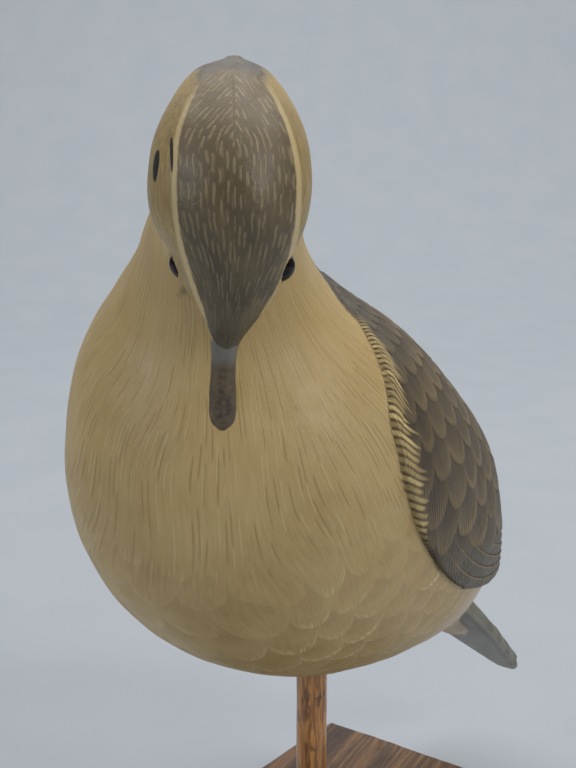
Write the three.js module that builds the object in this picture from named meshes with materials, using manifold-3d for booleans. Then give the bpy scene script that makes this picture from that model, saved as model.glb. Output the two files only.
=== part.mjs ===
// Carved dove looking down over its breast, on a round post let into a rectangular base.
// Millimetres, +Z up, the bird faces -Y, its tail points to +Y, its left side is +X.
// The origin is the middle of the underside of the base.
import * as THREE from 'three';
import * as BufferGeometryUtils from 'three/addons/utils/BufferGeometryUtils.js';
import Module from 'manifold-3d';

const wasm = await Module();
wasm.setup();

// Base and post
const BASE_WIDTH = 71;
const BASE_LENGTH = 120;
const BASE_HEIGHT = 20;
const BASE_CHAMFER = 1.2;
const POST_RADIUS = 4;
const POST_CHAMFER = 0.5;
const POST_IN_BASE = 12;
const POST_TOP_Z = 99;
const FIT_GAP = 0.3;
const POST_SIDES = 28;

// Body: an egg on an axis tilted nose-up, fuller towards the breast
const BODY_CENTRE = new THREE.Vector3(0, 3.2, 118.9);
const BODY_TILT = 30;
const BODY_HALF_LENGTH = 75.5;
const BODY_HALF_WIDTH = 41.5;
const BODY_BACK_DEPTH = 39.5;
const BODY_BELLY_DEPTH = 49.2;
const BODY_EGG = 0.26;

// Rump: a round taper from the middle of the body to the root of the tail
const RUMP_START = -19;
const RUMP_END = -92;
const RUMP_DROP = 15;
const RUMP_START_RADIUS = 27.9;
const RUMP_END_RADIUS = 4.6;
const RUMP_BLEND = 20;

// Coverts that run from the rump onto the tail
const COVERT_REACH = 46;
const COVERT_END_RADIUS = 1.8;
const COVERT_BLEND = 6;

// Neck, leaning forward and to the bird's left
const NECK_BOTTOM = new THREE.Vector3(-5.7, -30.9, 154.6);
const NECK_BOTTOM_RADIUS = 24.4;
const NECK_TOP_RADIUS = 12;
const NECK_TOP_UNDER_CROWN = 7.6;
const NECK_TOP_BEHIND = 6;
const NECK_BLEND = 14;

// Hind neck, filling the line from the nape to the back
const NAPE_BOTTOM = new THREE.Vector3(-0.3, -29.2, 163.5);
const NAPE_BOTTOM_RADIUS = 9.1;
const NAPE_TOP_UNDER_CROWN = 8.5;
const NAPE_TOP_BEHIND = 16;
const NAPE_TOP_RADIUS = 11.3;
const NAPE_BLEND = 8;

// Head: turned to the bird's left and bowed until the bill points down
const HEAD_CENTRE = new THREE.Vector3(27, -64.5, 190.2);
const HEAD_TURN = 29.7;
const HEAD_BOW = 80;
const HEAD_ROLL = -8.4;
const HEAD_BLEND = 4.5;

// Head profile at stations along its own forward axis, nape to bill tip:
// station, half width, height of the crown line, height of the throat line
const HEAD_STATIONS = [
  [-27.6, 0.6, -6.2, -7.4],
  [-26.2, 4.2, -5.0, -10.5],
  [-23.4, 6.4, 1.2, -13.5],
  [-20.6, 8.5, 5.0, -15.0],
  [-17.9, 10.6, 7.4, -16.0],
  [-12.3, 13.6, 11.3, -17.0],
  [-6.8, 14.8, 13.7, -17.0],
  [-1.3, 14.9, 14.6, -16.6],
  [4.0, 13.8, 14.2, -15.4],
  [10.2, 10.6, 12.0, -13.0],
  [15.5, 8.5, 8.9, -10.2],
  [19.0, 6.2, 6.3, -8.2],
  [22.5, 4.0, 3.4, -6.2],
  [25.5, 2.7, 1.5, -4.9],
  [30.0, 2.3, 0.3, -4.3],
  [35.6, 2.6, -0.3, -4.4],
  [38.6, 2.5, -1.0, -4.5],
  [40.6, 1.7, -2.2, -4.4],
  [41.6, 0.5, -3.4, -4.1],
];

// The carving is not symmetrical: how far the middle of the head lies to its left at each station
const HEAD_MIDDLES = [
  [-27.6, 0.55], [-14, 0.6], [-6, 0.5], [4, 0.5], [10, 1], [15.5, 1.05], [19, 1.35],
  [22, 1], [25.5, 0.1], [28, 0], [41.6, 0],
];

// Eyes, in the head's own axes: half the distance between them and the middle between them
const EYE_RADIUS = 3;
const EYE_SIDE = 8.35;
const EYE_MIDDLE = 1.25;
const EYE_FORWARD = 11.3;
const EYE_UP = 0.6;

// Loft of the bird
const RING_POINTS = 36;
const BODY_RINGS = 19;
const NECK_RINGS = 14;
const HEAD_RINGS = 32;
const BILL_RINGS = 10;
const THROAT_HUB_FORWARD = 27;
const THROAT_HUB_UP = -11.5;
const RUMP_TIP = -111;

// Wings: plates laid on the back, their outline in body axes.
// Lower edge from the shoulder to the tip: distance along the axis, angle from the back line
const WING_LOWER = [
  [46, 33], [43.5, 52], [41.4, 67], [39.7, 79.5], [35.7, 87.5], [31.3, 94], [25, 100.5],
  [18.8, 104.7], [9, 108.6], [-6.5, 112], [-20.5, 112.5], [-36, 110.5], [-49, 107],
  [-62, 101], [-74, 93], [-84, 82], [-90, 71],
];
// Inner edge from the shoulder to the tip
const WING_INNER = [
  [46, 30], [44, 18], [39, 11], [30, 8], [20, 7], [8, 7], [-5, 8], [-20, 9.5], [-35, 12],
  [-50, 16], [-62, 23], [-72, 33], [-80, 43], [-85, 52], [-88.5, 60], [-90, 66], [-90, 70],
];
const WING_ROWS = 24;
const WING_COLUMNS = 7;
const WING_PROUD_EDGE = 1.5;
const WING_PROUD_MIDDLE = 0.4;
const WING_ROOT_DEPTH = 4;
const WING_FREE_FROM = -36;
const WING_FREE_SLOPE = 0.35;
const WING_FREE_BEND = 0.0016;

// Tail: a long tapering blade with the middle feathers raised on top
const TAIL_SLOPE = 37.2;
const TAIL_ROOT = new THREE.Vector3(0, 48.8, 79.6);
const TAIL_STATIONS = [
  [-14, 10.5, 3.2], [0, 12.6, 3.0], [18, 12.8, 2.6], [36, 11.6, 2.3], [52, 9.4, 2.0],
  [64, 7.4, 1.8], [74, 5.8, 1.6], [80, 4.6, 1.5], [83, 3.2, 1.3], [84, 1.6, 0.9],
];
const TAIL_MIDDLE_HALF_WIDTH = 5.6;
const TAIL_MIDDLE_RISE = 1.1;

const rad = THREE.MathUtils.degToRad;

// Body axes
const ALONG = new THREE.Vector3(0, -Math.cos(rad(BODY_TILT)), Math.sin(rad(BODY_TILT)));
const BACK = new THREE.Vector3(0, Math.sin(rad(BODY_TILT)), Math.cos(rad(BODY_TILT)));
const SIDE = new THREE.Vector3(1, 0, 0);

// Head axes: forward, left and up of the skull
const turnForward = new THREE.Vector3(Math.sin(rad(HEAD_TURN)), -Math.cos(rad(HEAD_TURN)), 0);
const turnLeft = new THREE.Vector3(Math.cos(rad(HEAD_TURN)), Math.sin(rad(HEAD_TURN)), 0);
const zUp = new THREE.Vector3(0, 0, 1);
const HEAD_F = turnForward.clone().multiplyScalar(Math.cos(rad(HEAD_BOW)))
  .addScaledVector(zUp, -Math.sin(rad(HEAD_BOW)));
const bowedUp = zUp.clone().multiplyScalar(Math.cos(rad(HEAD_BOW)))
  .addScaledVector(turnForward, Math.sin(rad(HEAD_BOW)));
const HEAD_L = turnLeft.clone().multiplyScalar(Math.cos(rad(HEAD_ROLL)))
  .addScaledVector(bowedUp, Math.sin(rad(HEAD_ROLL)));
const HEAD_U = bowedUp.clone().multiplyScalar(Math.cos(rad(HEAD_ROLL)))
  .addScaledVector(turnLeft, -Math.sin(rad(HEAD_ROLL)));

function headPoint(left, forward, up) {
  return HEAD_CENTRE.clone().addScaledVector(HEAD_L, left)
    .addScaledVector(HEAD_F, forward).addScaledVector(HEAD_U, up);
}

function bodyPoint(along, angle, radius) {
  return BODY_CENTRE.clone().addScaledVector(ALONG, along)
    .addScaledVector(SIDE, radius * Math.sin(angle))
    .addScaledVector(BACK, radius * Math.cos(angle));
}

const NECK_TOP = headPoint(0, -NECK_TOP_BEHIND, -NECK_TOP_UNDER_CROWN);
const NAPE_TOP = headPoint(0, -NAPE_TOP_BEHIND, -NAPE_TOP_UNDER_CROWN);
const RUMP_A = BODY_CENTRE.clone().addScaledVector(ALONG, RUMP_START);
const RUMP_B = BODY_CENTRE.clone().addScaledVector(ALONG, RUMP_END)
  .addScaledVector(BACK, -RUMP_DROP);

const TAIL_WAY = new THREE.Vector3(0, Math.cos(rad(TAIL_SLOPE)), -Math.sin(rad(TAIL_SLOPE)));
const TAIL_UP = new THREE.Vector3(0, Math.sin(rad(TAIL_SLOPE)), Math.cos(rad(TAIL_SLOPE)));
const COVERT_END = TAIL_ROOT.clone().addScaledVector(TAIL_WAY, COVERT_REACH);

// Cubic curve through named stations
function curve(stations, column) {
  const t = stations.map((s) => s[0]);
  const v = stations.map((s) => s[column]);
  const n = t.length;
  const slope = v.map((value, i) => {
    const a = Math.max(0, i - 1);
    const b = Math.min(n - 1, i + 1);
    if (a === i || b === i) return (v[b] - v[a]) / (t[b] - t[a]);
    const before = t[i] - t[a];
    const after = t[b] - t[i];
    const low = (value - v[a]) / before;
    const high = (v[b] - value) / after;
    return (low * after + high * before) / (before + after);
  });
  return (x) => {
    const clamped = Math.min(Math.max(x, t[0]), t[n - 1]);
    let i = 0;
    while (i < n - 2 && clamped > t[i + 1]) i += 1;
    const h = t[i + 1] - t[i];
    const u = (clamped - t[i]) / h;
    const u2 = u * u;
    const u3 = u2 * u;
    return (2 * u3 - 3 * u2 + 1) * v[i] + (u3 - 2 * u2 + u) * h * slope[i]
      + (3 * u2 - 2 * u3) * v[i + 1] + (u3 - u2) * h * slope[i + 1];
  };
}

const headWidth = curve(HEAD_STATIONS, 1);
const headCrown = curve(HEAD_STATIONS, 2);
const headThroat = curve(HEAD_STATIONS, 3);
const headMiddle = curve(HEAD_MIDDLES, 1);
const HEAD_BACK_END = HEAD_STATIONS[0][0];
const HEAD_TIP = HEAD_STATIONS[HEAD_STATIONS.length - 1][0];

function blend(a, b, k) {
  const h = Math.min(Math.max(0.5 + (0.5 * (b - a)) / k, 0), 1);
  return b + (a - b) * h - k * h * (1 - h);
}

// Signed distance to a round taper between two points
function taper(p, a, b, radiusA, radiusB) {
  const ab = b.clone().sub(a);
  const ap = p.clone().sub(a);
  const t = Math.min(Math.max(ap.dot(ab) / ab.lengthSq(), 0), 1);
  return ap.addScaledVector(ab, -t).length() - (radiusA + (radiusB - radiusA) * t);
}

function bodyField(p) {
  const c = p.clone().sub(BODY_CENTRE);
  const s = c.dot(ALONG);
  const h = c.dot(BACK);
  const t = Math.min(Math.max(s / BODY_HALF_LENGTH, -1.2), 1.2);
  const egg = 1 + BODY_EGG * t;
  const depth = h < 0 ? BODY_BELLY_DEPTH : BODY_BACK_DEPTH;
  const x = c.x / egg;
  const y = h / egg;
  const near = Math.hypot(x / BODY_HALF_WIDTH, s / BODY_HALF_LENGTH, y / depth);
  const steep = Math.hypot(x / BODY_HALF_WIDTH ** 2, s / BODY_HALF_LENGTH ** 2, y / depth ** 2);
  const egged = (near * (near - 1)) / Math.max(steep, 1e-9);
  const rump = taper(p, RUMP_A, RUMP_B, RUMP_START_RADIUS, RUMP_END_RADIUS);
  const coverts = taper(p, RUMP_B, COVERT_END, RUMP_END_RADIUS, COVERT_END_RADIUS);
  return blend(blend(egged, rump, RUMP_BLEND), coverts, COVERT_BLEND);
}

function headField(p) {
  const c = p.clone().sub(HEAD_CENTRE);
  const f = c.dot(HEAD_F);
  const x = c.dot(HEAD_L) - headMiddle(f);
  const y = c.dot(HEAD_U);
  const w = headWidth(f);
  const top = headCrown(f);
  const bottom = headThroat(f);
  const half = (top - bottom) / 2;
  const a = x / w;
  const b = (y - (top + bottom) / 2) / half;
  const g = Math.hypot(a, b) + 1e-9;
  const d = (g - 1) / Math.max(Math.hypot(a / w, b / half) / g, 1e-6);
  const over = Math.max(f - HEAD_TIP, HEAD_BACK_END - f);
  return over > 0 ? Math.hypot(Math.max(d, 0), over) : d * 0.85;
}

// The whole bird without wings and tail blade: negative inside
function birdField(p) {
  const neck = taper(p, NECK_BOTTOM, NECK_TOP, NECK_BOTTOM_RADIUS, NECK_TOP_RADIUS);
  const nape = taper(p, NAPE_BOTTOM, NAPE_TOP, NAPE_BOTTOM_RADIUS, NAPE_TOP_RADIUS);
  const necks = blend(neck, nape, NAPE_BLEND);
  return blend(blend(bodyField(p), necks, NECK_BLEND), headField(p), HEAD_BLEND);
}

// First place where a ray from inside leaves the bird
function leave(origin, direction, step = 0.5, far = 140) {
  const at = (d) => birdField(origin.clone().addScaledVector(direction, d));
  let low = 0;
  let high = step;
  let value = at(high);
  while (high < far && value < 0) {
    low = high;
    high += Math.max(step, -value * 0.5);
    value = at(high);
  }
  for (let i = 0; i < 16; i += 1) {
    const middle = (low + high) / 2;
    if (at(middle) < 0) low = middle;
    else high = middle;
  }
  return (low + high) / 2;
}

// First place where a ray from outside enters the bird
function enter(origin, direction, step = 0.25, far = 60) {
  let d = 0;
  while (d < far && birdField(origin.clone().addScaledVector(direction, d)) > 0) d += step;
  return d;
}

// Middle line of the body, rump and coverts at a distance behind the body's centre
function spineBehind(s) {
  const end = COVERT_END.clone().sub(BODY_CENTRE);
  const reach = end.dot(ALONG);
  const low = end.dot(BACK);
  const drop = s > RUMP_END
    ? (-RUMP_DROP * s) / RUMP_END
    : -RUMP_DROP + ((low + RUMP_DROP) * (s - RUMP_END)) / (reach - RUMP_END);
  return BODY_CENTRE.clone().addScaledVector(ALONG, s).addScaledVector(BACK, drop);
}

// Ring planes: centre, across and outward directions
function ringPlanes() {
  const planes = [];
  const hub = headPoint(0, THROAT_HUB_FORWARD, THROAT_HUB_UP);
  const neckWay = NECK_TOP.clone().sub(NECK_BOTTOM).normalize();
  const neckN = neckWay.addScaledVector(HEAD_L, -neckWay.dot(HEAD_L)).normalize();
  const toNape = neckN.clone().cross(HEAD_L).normalize();
  if (toNape.dot(HEAD_F) > 0) toNape.negate();
  const inFan = (angle) => {
    const out = toNape.clone().applyAxisAngle(HEAD_L, angle);
    const first = enter(hub, out);
    const start = hub.clone().addScaledVector(out, first + 0.05);
    const last = first + leave(start, out);
    return { out, centre: hub.clone().addScaledVector(out, (first + last) / 2) };
  };
  const fanEnd = toNape.angleTo(HEAD_U);
  const turnSign = toNape.clone().applyAxisAngle(HEAD_L, fanEnd).distanceTo(HEAD_U) < 0.01 ? 1 : -1;
  const neckStart = inFan(0).centre;

  for (let i = 0; i < BODY_RINGS; i += 1) {
    const u = i / BODY_RINGS;
    const s = RUMP_TIP * (1 - Math.sin((u * Math.PI) / 2));
    const centre = spineBehind(s);
    planes.push({ centre, across: SIDE.clone(), outward: BACK.clone() });
  }
  const reach = neckStart.distanceTo(BODY_CENTRE);
  const handleA = BODY_CENTRE.clone().addScaledVector(ALONG, reach * 0.36);
  const handleB = neckStart.clone().addScaledVector(neckN, -reach * 0.36);
  const path = new THREE.CubicBezierCurve3(BODY_CENTRE, handleA, handleB, neckStart);
  for (let i = 0; i < NECK_RINGS; i += 1) {
    const t = i / NECK_RINGS;
    const ease = t * t * (3 - 2 * t);
    const normal = ALONG.clone().lerp(neckN, ease).normalize();
    const across = SIDE.clone().lerp(HEAD_L, ease);
    across.addScaledVector(normal, -across.dot(normal)).normalize();
    const outward = normal.clone().cross(across).normalize();
    if (outward.dot(BACK) < 0) outward.negate();
    planes.push({ centre: path.getPoint(t), across, outward });
  }
  for (let i = 0; i < HEAD_RINGS; i += 1) {
    const { out, centre } = inFan((turnSign * fanEnd * i) / HEAD_RINGS);
    planes.push({ centre, across: HEAD_L.clone(), outward: out });
  }
  for (let i = 0; i < BILL_RINGS; i += 1) {
    const u = Math.sin(((i / (BILL_RINGS - 1)) * Math.PI) / 2);
    const f = THROAT_HUB_FORWARD + (HEAD_TIP - 0.35 - THROAT_HUB_FORWARD) * u;
    const centre = headPoint(0, f, (headCrown(f) + headThroat(f)) / 2);
    planes.push({ centre, across: HEAD_L.clone(), outward: HEAD_U.clone() });
  }
  return planes;
}

// Closed mesh from rings of equal count, with a cap point at each end
function loftMesh(rings, capStart, capEnd) {
  const count = rings[0].length;
  const position = [];
  const index = [];
  rings.forEach((ring) => ring.forEach((p) => position.push(p.x, p.y, p.z)));
  position.push(capStart.x, capStart.y, capStart.z, capEnd.x, capEnd.y, capEnd.z);
  const start = rings.length * count;
  for (let i = 0; i < rings.length - 1; i += 1) {
    for (let j = 0; j < count; j += 1) {
      const k = (j + 1) % count;
      const a = i * count + j;
      const b = i * count + k;
      const c = a + count;
      const d = b + count;
      if ((i + j) % 2) index.push(a, b, d, a, d, c);
      else index.push(a, b, c, b, d, c);
    }
  }
  const lastRow = (rings.length - 1) * count;
  for (let j = 0; j < count; j += 1) {
    const k = (j + 1) % count;
    index.push(start, k, j, start + 1, lastRow + j, lastRow + k);
  }
  const geometry = new THREE.BufferGeometry();
  geometry.setAttribute('position', new THREE.Float32BufferAttribute(position, 3));
  geometry.setIndex(index);
  return geometry;
}

function signedVolume(geometry) {
  const p = geometry.attributes.position;
  const index = geometry.index;
  const a = new THREE.Vector3();
  const b = new THREE.Vector3();
  const c = new THREE.Vector3();
  let sum = 0;
  for (let i = 0; i < index.count; i += 3) {
    a.fromBufferAttribute(p, index.getX(i));
    b.fromBufferAttribute(p, index.getX(i + 1));
    c.fromBufferAttribute(p, index.getX(i + 2));
    sum += a.dot(b.cross(c)) / 6;
  }
  return sum;
}

function flipped(geometry) {
  const index = Array.from(geometry.index.array);
  for (let i = 0; i < index.length; i += 3) {
    [index[i + 1], index[i + 2]] = [index[i + 2], index[i + 1]];
  }
  geometry.setIndex(index);
  return geometry;
}

// Watertight solid from a closed geometry, turned right side out
function solid(source) {
  let geometry = source.clone();
  geometry.deleteAttribute('normal');
  geometry.deleteAttribute('uv');
  geometry = BufferGeometryUtils.mergeVertices(geometry, 1e-4);
  if (signedVolume(geometry) < 0) geometry = flipped(geometry);
  const mesh = new wasm.Mesh({
    numProp: 3,
    vertProperties: new Float32Array(geometry.attributes.position.array),
    triVerts: new Uint32Array(geometry.index.array),
  });
  return new wasm.Manifold(mesh);
}

function geometryOf(manifold) {
  const mesh = manifold.getMesh();
  const geometry = new THREE.BufferGeometry();
  geometry.setAttribute('position', new THREE.Float32BufferAttribute(mesh.vertProperties, 3));
  geometry.setIndex(Array.from(mesh.triVerts));
  geometry.computeVertexNormals();
  return geometry;
}

function birdSolid() {
  const planes = ringPlanes();
  const rings = planes.map(({ centre, across, outward }) => {
    const ring = [];
    for (let j = 0; j < RING_POINTS; j += 1) {
      const angle = (2 * Math.PI * (j + 0.5)) / RING_POINTS;
      const way = across.clone().multiplyScalar(Math.sin(angle))
        .addScaledVector(outward, Math.cos(angle));
      ring.push(centre.clone().addScaledVector(way, leave(centre, way)));
    }
    return ring;
  });
  const first = planes[0].centre;
  const rumpCap = first.clone().addScaledVector(ALONG, -leave(first, ALONG.clone().negate()));
  const billCap = headPoint(0, HEAD_TIP, (headCrown(HEAD_TIP) + headThroat(HEAD_TIP)) / 2);
  return { solid: solid(loftMesh(rings, rumpCap, billCap)), rings, planes };
}

// Plate between two grids of points, outer and inner, closed along its rim
function plateMesh(outer, inner) {
  const rows = outer.length;
  const columns = outer[0].length;
  const position = [];
  const index = [];
  [outer, inner].forEach((grid) => grid.forEach((row) => row.forEach((p) => {
    position.push(p.x, p.y, p.z);
  })));
  const at = (side, i, j) => side * rows * columns + i * columns + j;
  for (let i = 0; i < rows - 1; i += 1) {
    for (let j = 0; j < columns - 1; j += 1) {
      index.push(at(0, i, j), at(0, i + 1, j), at(0, i + 1, j + 1));
      index.push(at(0, i, j), at(0, i + 1, j + 1), at(0, i, j + 1));
      index.push(at(1, i, j), at(1, i + 1, j + 1), at(1, i + 1, j));
      index.push(at(1, i, j), at(1, i, j + 1), at(1, i + 1, j + 1));
    }
  }
  const rim = [];
  for (let j = 0; j < columns - 1; j += 1) rim.push([0, j]);
  for (let i = 0; i < rows - 1; i += 1) rim.push([i, columns - 1]);
  for (let j = columns - 1; j > 0; j -= 1) rim.push([rows - 1, j]);
  for (let i = rows - 1; i > 0; i -= 1) rim.push([i, 0]);
  rim.forEach(([i, j], k) => {
    const [m, n] = rim[(k + 1) % rim.length];
    index.push(at(0, i, j), at(0, m, n), at(1, m, n));
    index.push(at(0, i, j), at(1, m, n), at(1, i, j));
  });
  const geometry = new THREE.BufferGeometry();
  geometry.setAttribute('position', new THREE.Float32BufferAttribute(position, 3));
  geometry.setIndex(index);
  return geometry;
}

// Point on a polyline of [along, angle] pairs at a share of its length in steps
function along(stations, share) {
  const x = share * (stations.length - 1);
  const i = Math.min(Math.floor(x), stations.length - 2);
  const u = x - i;
  return [0, 1].map((k) => stations[i][k] + (stations[i + 1][k] - stations[i][k]) * u);
}

function wingSolid(sign) {
  const outer = [];
  const inner = [];
  for (let i = 0; i <= WING_ROWS; i += 1) {
    const share = i / WING_ROWS;
    const low = along(WING_LOWER, share);
    const high = along(WING_INNER, share);
    const rowOut = [];
    const rowIn = [];
    for (let j = 0; j <= WING_COLUMNS; j += 1) {
      const v = j / WING_COLUMNS;
      const s = high[0] + (low[0] - high[0]) * v;
      const angle = rad(high[1] + (low[1] - high[1]) * v);
      const way = SIDE.clone().multiplyScalar(Math.sin(angle) * sign)
        .addScaledVector(BACK, Math.cos(angle));
      const past = Math.max(WING_FREE_FROM - s, 0);
      const held = BODY_CENTRE.clone().addScaledVector(ALONG, Math.max(s, WING_FREE_FROM));
      const fall = past * WING_FREE_SLOPE + past * past * WING_FREE_BEND;
      const radius = leave(held, way) - fall;
      const bulge = Math.min(share * 6, 1);
      const proud = bulge * (WING_PROUD_MIDDLE + (WING_PROUD_EDGE - WING_PROUD_MIDDLE) * v ** 3) + 0.25;
      const depth = WING_ROOT_DEPTH - 1.2 * Math.min(past / 30, 1);
      rowOut.push(bodyPoint(s, angle * sign, radius + proud));
      rowIn.push(bodyPoint(s, angle * sign, radius - depth));
    }
    outer.push(rowOut);
    inner.push(rowIn);
  }
  return solid(plateMesh(outer, inner));
}

// Flat blade from stations [distance, half width, half thickness]
function bladeSolid(stations, lift) {
  const corners = [[-1, -0.3], [-0.86, -1], [0, -1], [0.86, -1], [1, -0.3], [1, 0.3],
    [0.86, 1], [0, 1], [-0.86, 1], [-1, 0.3]];
  const rings = stations.map(([d, w, t]) => corners.map(([a, b]) => (
    TAIL_ROOT.clone().addScaledVector(TAIL_WAY, d).addScaledVector(TAIL_UP, b * t + lift)
      .addScaledVector(SIDE, a * w))));
  const end = (d) => TAIL_ROOT.clone().addScaledVector(TAIL_WAY, d)
    .addScaledVector(TAIL_UP, lift);
  return solid(loftMesh(rings, end(stations[0][0]), end(stations[stations.length - 1][0])));
}

function roundBar(radius, bottom, top, chamfer) {
  const profile = [
    new THREE.Vector2(0, bottom), new THREE.Vector2(radius - chamfer, bottom),
    new THREE.Vector2(radius, bottom + chamfer), new THREE.Vector2(radius, top - chamfer),
    new THREE.Vector2(radius - chamfer, top), new THREE.Vector2(0, top),
  ];
  const lathe = new THREE.LatheGeometry(profile, POST_SIDES);
  lathe.rotateX(Math.PI / 2);
  return lathe;
}

function barSolid(radius, bottom, top, chamfer) {
  return solid(roundBar(radius, bottom, top, chamfer));
}

function baseSolid() {
  const w = BASE_WIDTH / 2 - BASE_CHAMFER;
  const l = BASE_LENGTH / 2 - BASE_CHAMFER;
  const shape = new THREE.Shape([
    new THREE.Vector2(-w, -l), new THREE.Vector2(w, -l),
    new THREE.Vector2(w, l), new THREE.Vector2(-w, l),
  ]);
  const block = new THREE.ExtrudeGeometry(shape, {
    depth: BASE_HEIGHT - 2 * BASE_CHAMFER,
    bevelEnabled: true,
    bevelThickness: BASE_CHAMFER,
    bevelSize: BASE_CHAMFER,
    bevelSegments: 3,
  });
  block.translate(0, 0, BASE_CHAMFER);
  return solid(block);
}

function material(hex, roughness) {
  return new THREE.MeshStandardMaterial({ color: hex, roughness, metalness: 0 });
}

function add(group, name, manifold, paint) {
  const mesh = new THREE.Mesh(geometryOf(manifold), paint);
  mesh.name = name;
  group.add(mesh);
}

const eyeAt = (sign) => headPoint(EYE_MIDDLE + sign * EYE_SIDE, EYE_FORWARD, EYE_UP);
const eyeBall = (sign, radius) => {
  const ball = new THREE.SphereGeometry(radius, 18, 12);
  const at = eyeAt(sign);
  ball.translate(at.x, at.y, at.z);
  return solid(ball);
};

let dove = birdSolid().solid;
[1, -1].forEach((sign) => {
  dove = dove.add(wingSolid(sign));
});
dove = dove.add(bladeSolid(TAIL_STATIONS, 0));
dove = dove.add(bladeSolid(
  TAIL_STATIONS.map(([d, w, t]) => [d, Math.min(w - 0.4, TAIL_MIDDLE_HALF_WIDTH), t]),
  TAIL_MIDDLE_RISE,
));
[1, -1].forEach((sign) => {
  dove = dove.subtract(eyeBall(sign, EYE_RADIUS + FIT_GAP));
});
dove = dove.subtract(barSolid(POST_RADIUS + FIT_GAP, 40, POST_TOP_Z + FIT_GAP, 0.01));

const socketFloor = BASE_HEIGHT - POST_IN_BASE;
const base = baseSolid().subtract(
  barSolid(POST_RADIUS + FIT_GAP, socketFloor - FIT_GAP, BASE_HEIGHT + 10, 0.01),
);

const group = new THREE.Group();
group.name = 'carved_dove_on_base';
add(group, 'dove', dove, material(0xab935f, 0.55));
add(group, 'eye_left', eyeBall(1, EYE_RADIUS), material(0x0c0b0a, 0.12));
add(group, 'eye_right', eyeBall(-1, EYE_RADIUS), material(0x0c0b0a, 0.12));
add(group, 'post', barSolid(POST_RADIUS, socketFloor, POST_TOP_Z, POST_CHAMFER), material(0x9a6a3a, 0.4));
add(group, 'base', base, material(0x6b4527, 0.5));

export default group;
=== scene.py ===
"""Carved and painted dove, head bowed, on a wooden post let into a walnut base.

The bird is shaped as a distance field from its driving dimensions, meshed, and then carved with
shallow feather relief. Lengths are millimetres until a mesh is made, and metres from there on.
"""
import math

import bpy
import numpy as np
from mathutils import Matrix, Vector


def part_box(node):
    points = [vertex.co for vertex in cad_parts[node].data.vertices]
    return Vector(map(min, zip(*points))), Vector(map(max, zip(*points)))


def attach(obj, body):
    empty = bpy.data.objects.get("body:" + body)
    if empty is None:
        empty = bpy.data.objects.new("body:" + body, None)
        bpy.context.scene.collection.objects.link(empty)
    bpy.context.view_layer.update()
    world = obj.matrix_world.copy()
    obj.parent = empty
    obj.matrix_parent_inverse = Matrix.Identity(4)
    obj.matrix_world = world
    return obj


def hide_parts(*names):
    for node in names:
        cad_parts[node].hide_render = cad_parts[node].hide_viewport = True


MM = 0.001

# Base and post
BASE_SIZE = (71.0, 120.0, 20.0)
BASE_EASE = 1.3
POST_RADIUS = 4.0
POST_FOOT_Z = 8.0
POST_TOP_Z = 99.0
DARK_STREAK_AT = -20.0

# Body: an egg on an axis tilted nose-up
BODY_CENTRE = np.array([0.0, 3.2, 118.9])
BODY_TILT = math.radians(30)
BODY_HALF_LENGTH = 75.5
BODY_HALF_WIDTH = 41.5
BODY_BACK_DEPTH = 39.5
BODY_BELLY_DEPTH = 49.2
BODY_EGG = 0.26

# Rump and the coverts that run onto the tail
RUMP_START = -19.0
RUMP_END = -92.0
RUMP_DROP = 15.0
RUMP_START_RADIUS = 27.9
RUMP_END_RADIUS = 4.6
RUMP_BLEND = 20.0
COVERT_REACH = 46.0
COVERT_END_RADIUS = 1.8
COVERT_BLEND = 6.0

# Neck and hind neck
NECK_BOTTOM = np.array([-5.7, -30.9, 154.6])
NECK_BOTTOM_RADIUS = 24.4
NECK_TOP_RADIUS = 12.0
NECK_TOP_UNDER_CROWN = 7.6
NECK_TOP_BEHIND = 6.0
NECK_BLEND = 14.0
NAPE_BOTTOM = np.array([-0.3, -29.2, 163.5])
NAPE_BOTTOM_RADIUS = 9.1
NAPE_TOP_UNDER_CROWN = 8.5
NAPE_TOP_BEHIND = 16.0
NAPE_TOP_RADIUS = 11.3
NAPE_BLEND = 8.0

# Head: turned to the bird's left and bowed until the bill points down
HEAD_CENTRE = np.array([27.0, -64.5, 190.2])
HEAD_TURN = math.radians(29.7)
HEAD_BOW = math.radians(80)
HEAD_ROLL = math.radians(-8.4)
HEAD_BLEND = 4.5

# Station along the head's forward axis, half width, crown line, throat line
HEAD_STATIONS = [
    (-27.6, 0.6, -6.2, -7.4), (-26.2, 4.2, -5.0, -10.5), (-23.4, 6.4, 1.2, -13.5),
    (-20.6, 8.5, 5.0, -15.0), (-17.9, 10.6, 7.4, -16.0), (-12.3, 13.6, 11.3, -17.0),
    (-6.8, 14.8, 13.7, -17.0), (-1.3, 14.9, 14.6, -16.6), (4.0, 13.8, 14.2, -15.4),
    (10.2, 10.6, 12.0, -13.0), (15.5, 8.5, 8.9, -10.2), (19.0, 6.2, 6.3, -8.2),
    (22.5, 4.0, 3.4, -6.2), (25.5, 2.7, 1.5, -4.9), (30.0, 2.3, 0.3, -4.3),
    (35.6, 2.6, -0.3, -4.4), (38.6, 2.5, -1.0, -4.5), (40.6, 1.7, -2.2, -4.4),
    (41.6, 0.5, -3.4, -4.1),
]
# How far the middle of the head lies to its left at each station
HEAD_MIDDLES = [
    (-27.6, 0.55), (-14.0, 0.6), (-6.0, 0.5), (4.0, 0.5), (10.0, 1.0), (15.5, 1.05), (19.0, 1.35),
    (22.0, 1.0), (25.5, 0.1), (28.0, 0.0), (41.6, 0.0),
]
EYE_RADIUS = 3.0
EYE_SIDE = 8.35
EYE_MIDDLE = 1.25
EYE_FORWARD = 11.3
EYE_UP = 0.6
LID_WIDTH = 0.42
LID_RISE = 0.35

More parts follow.
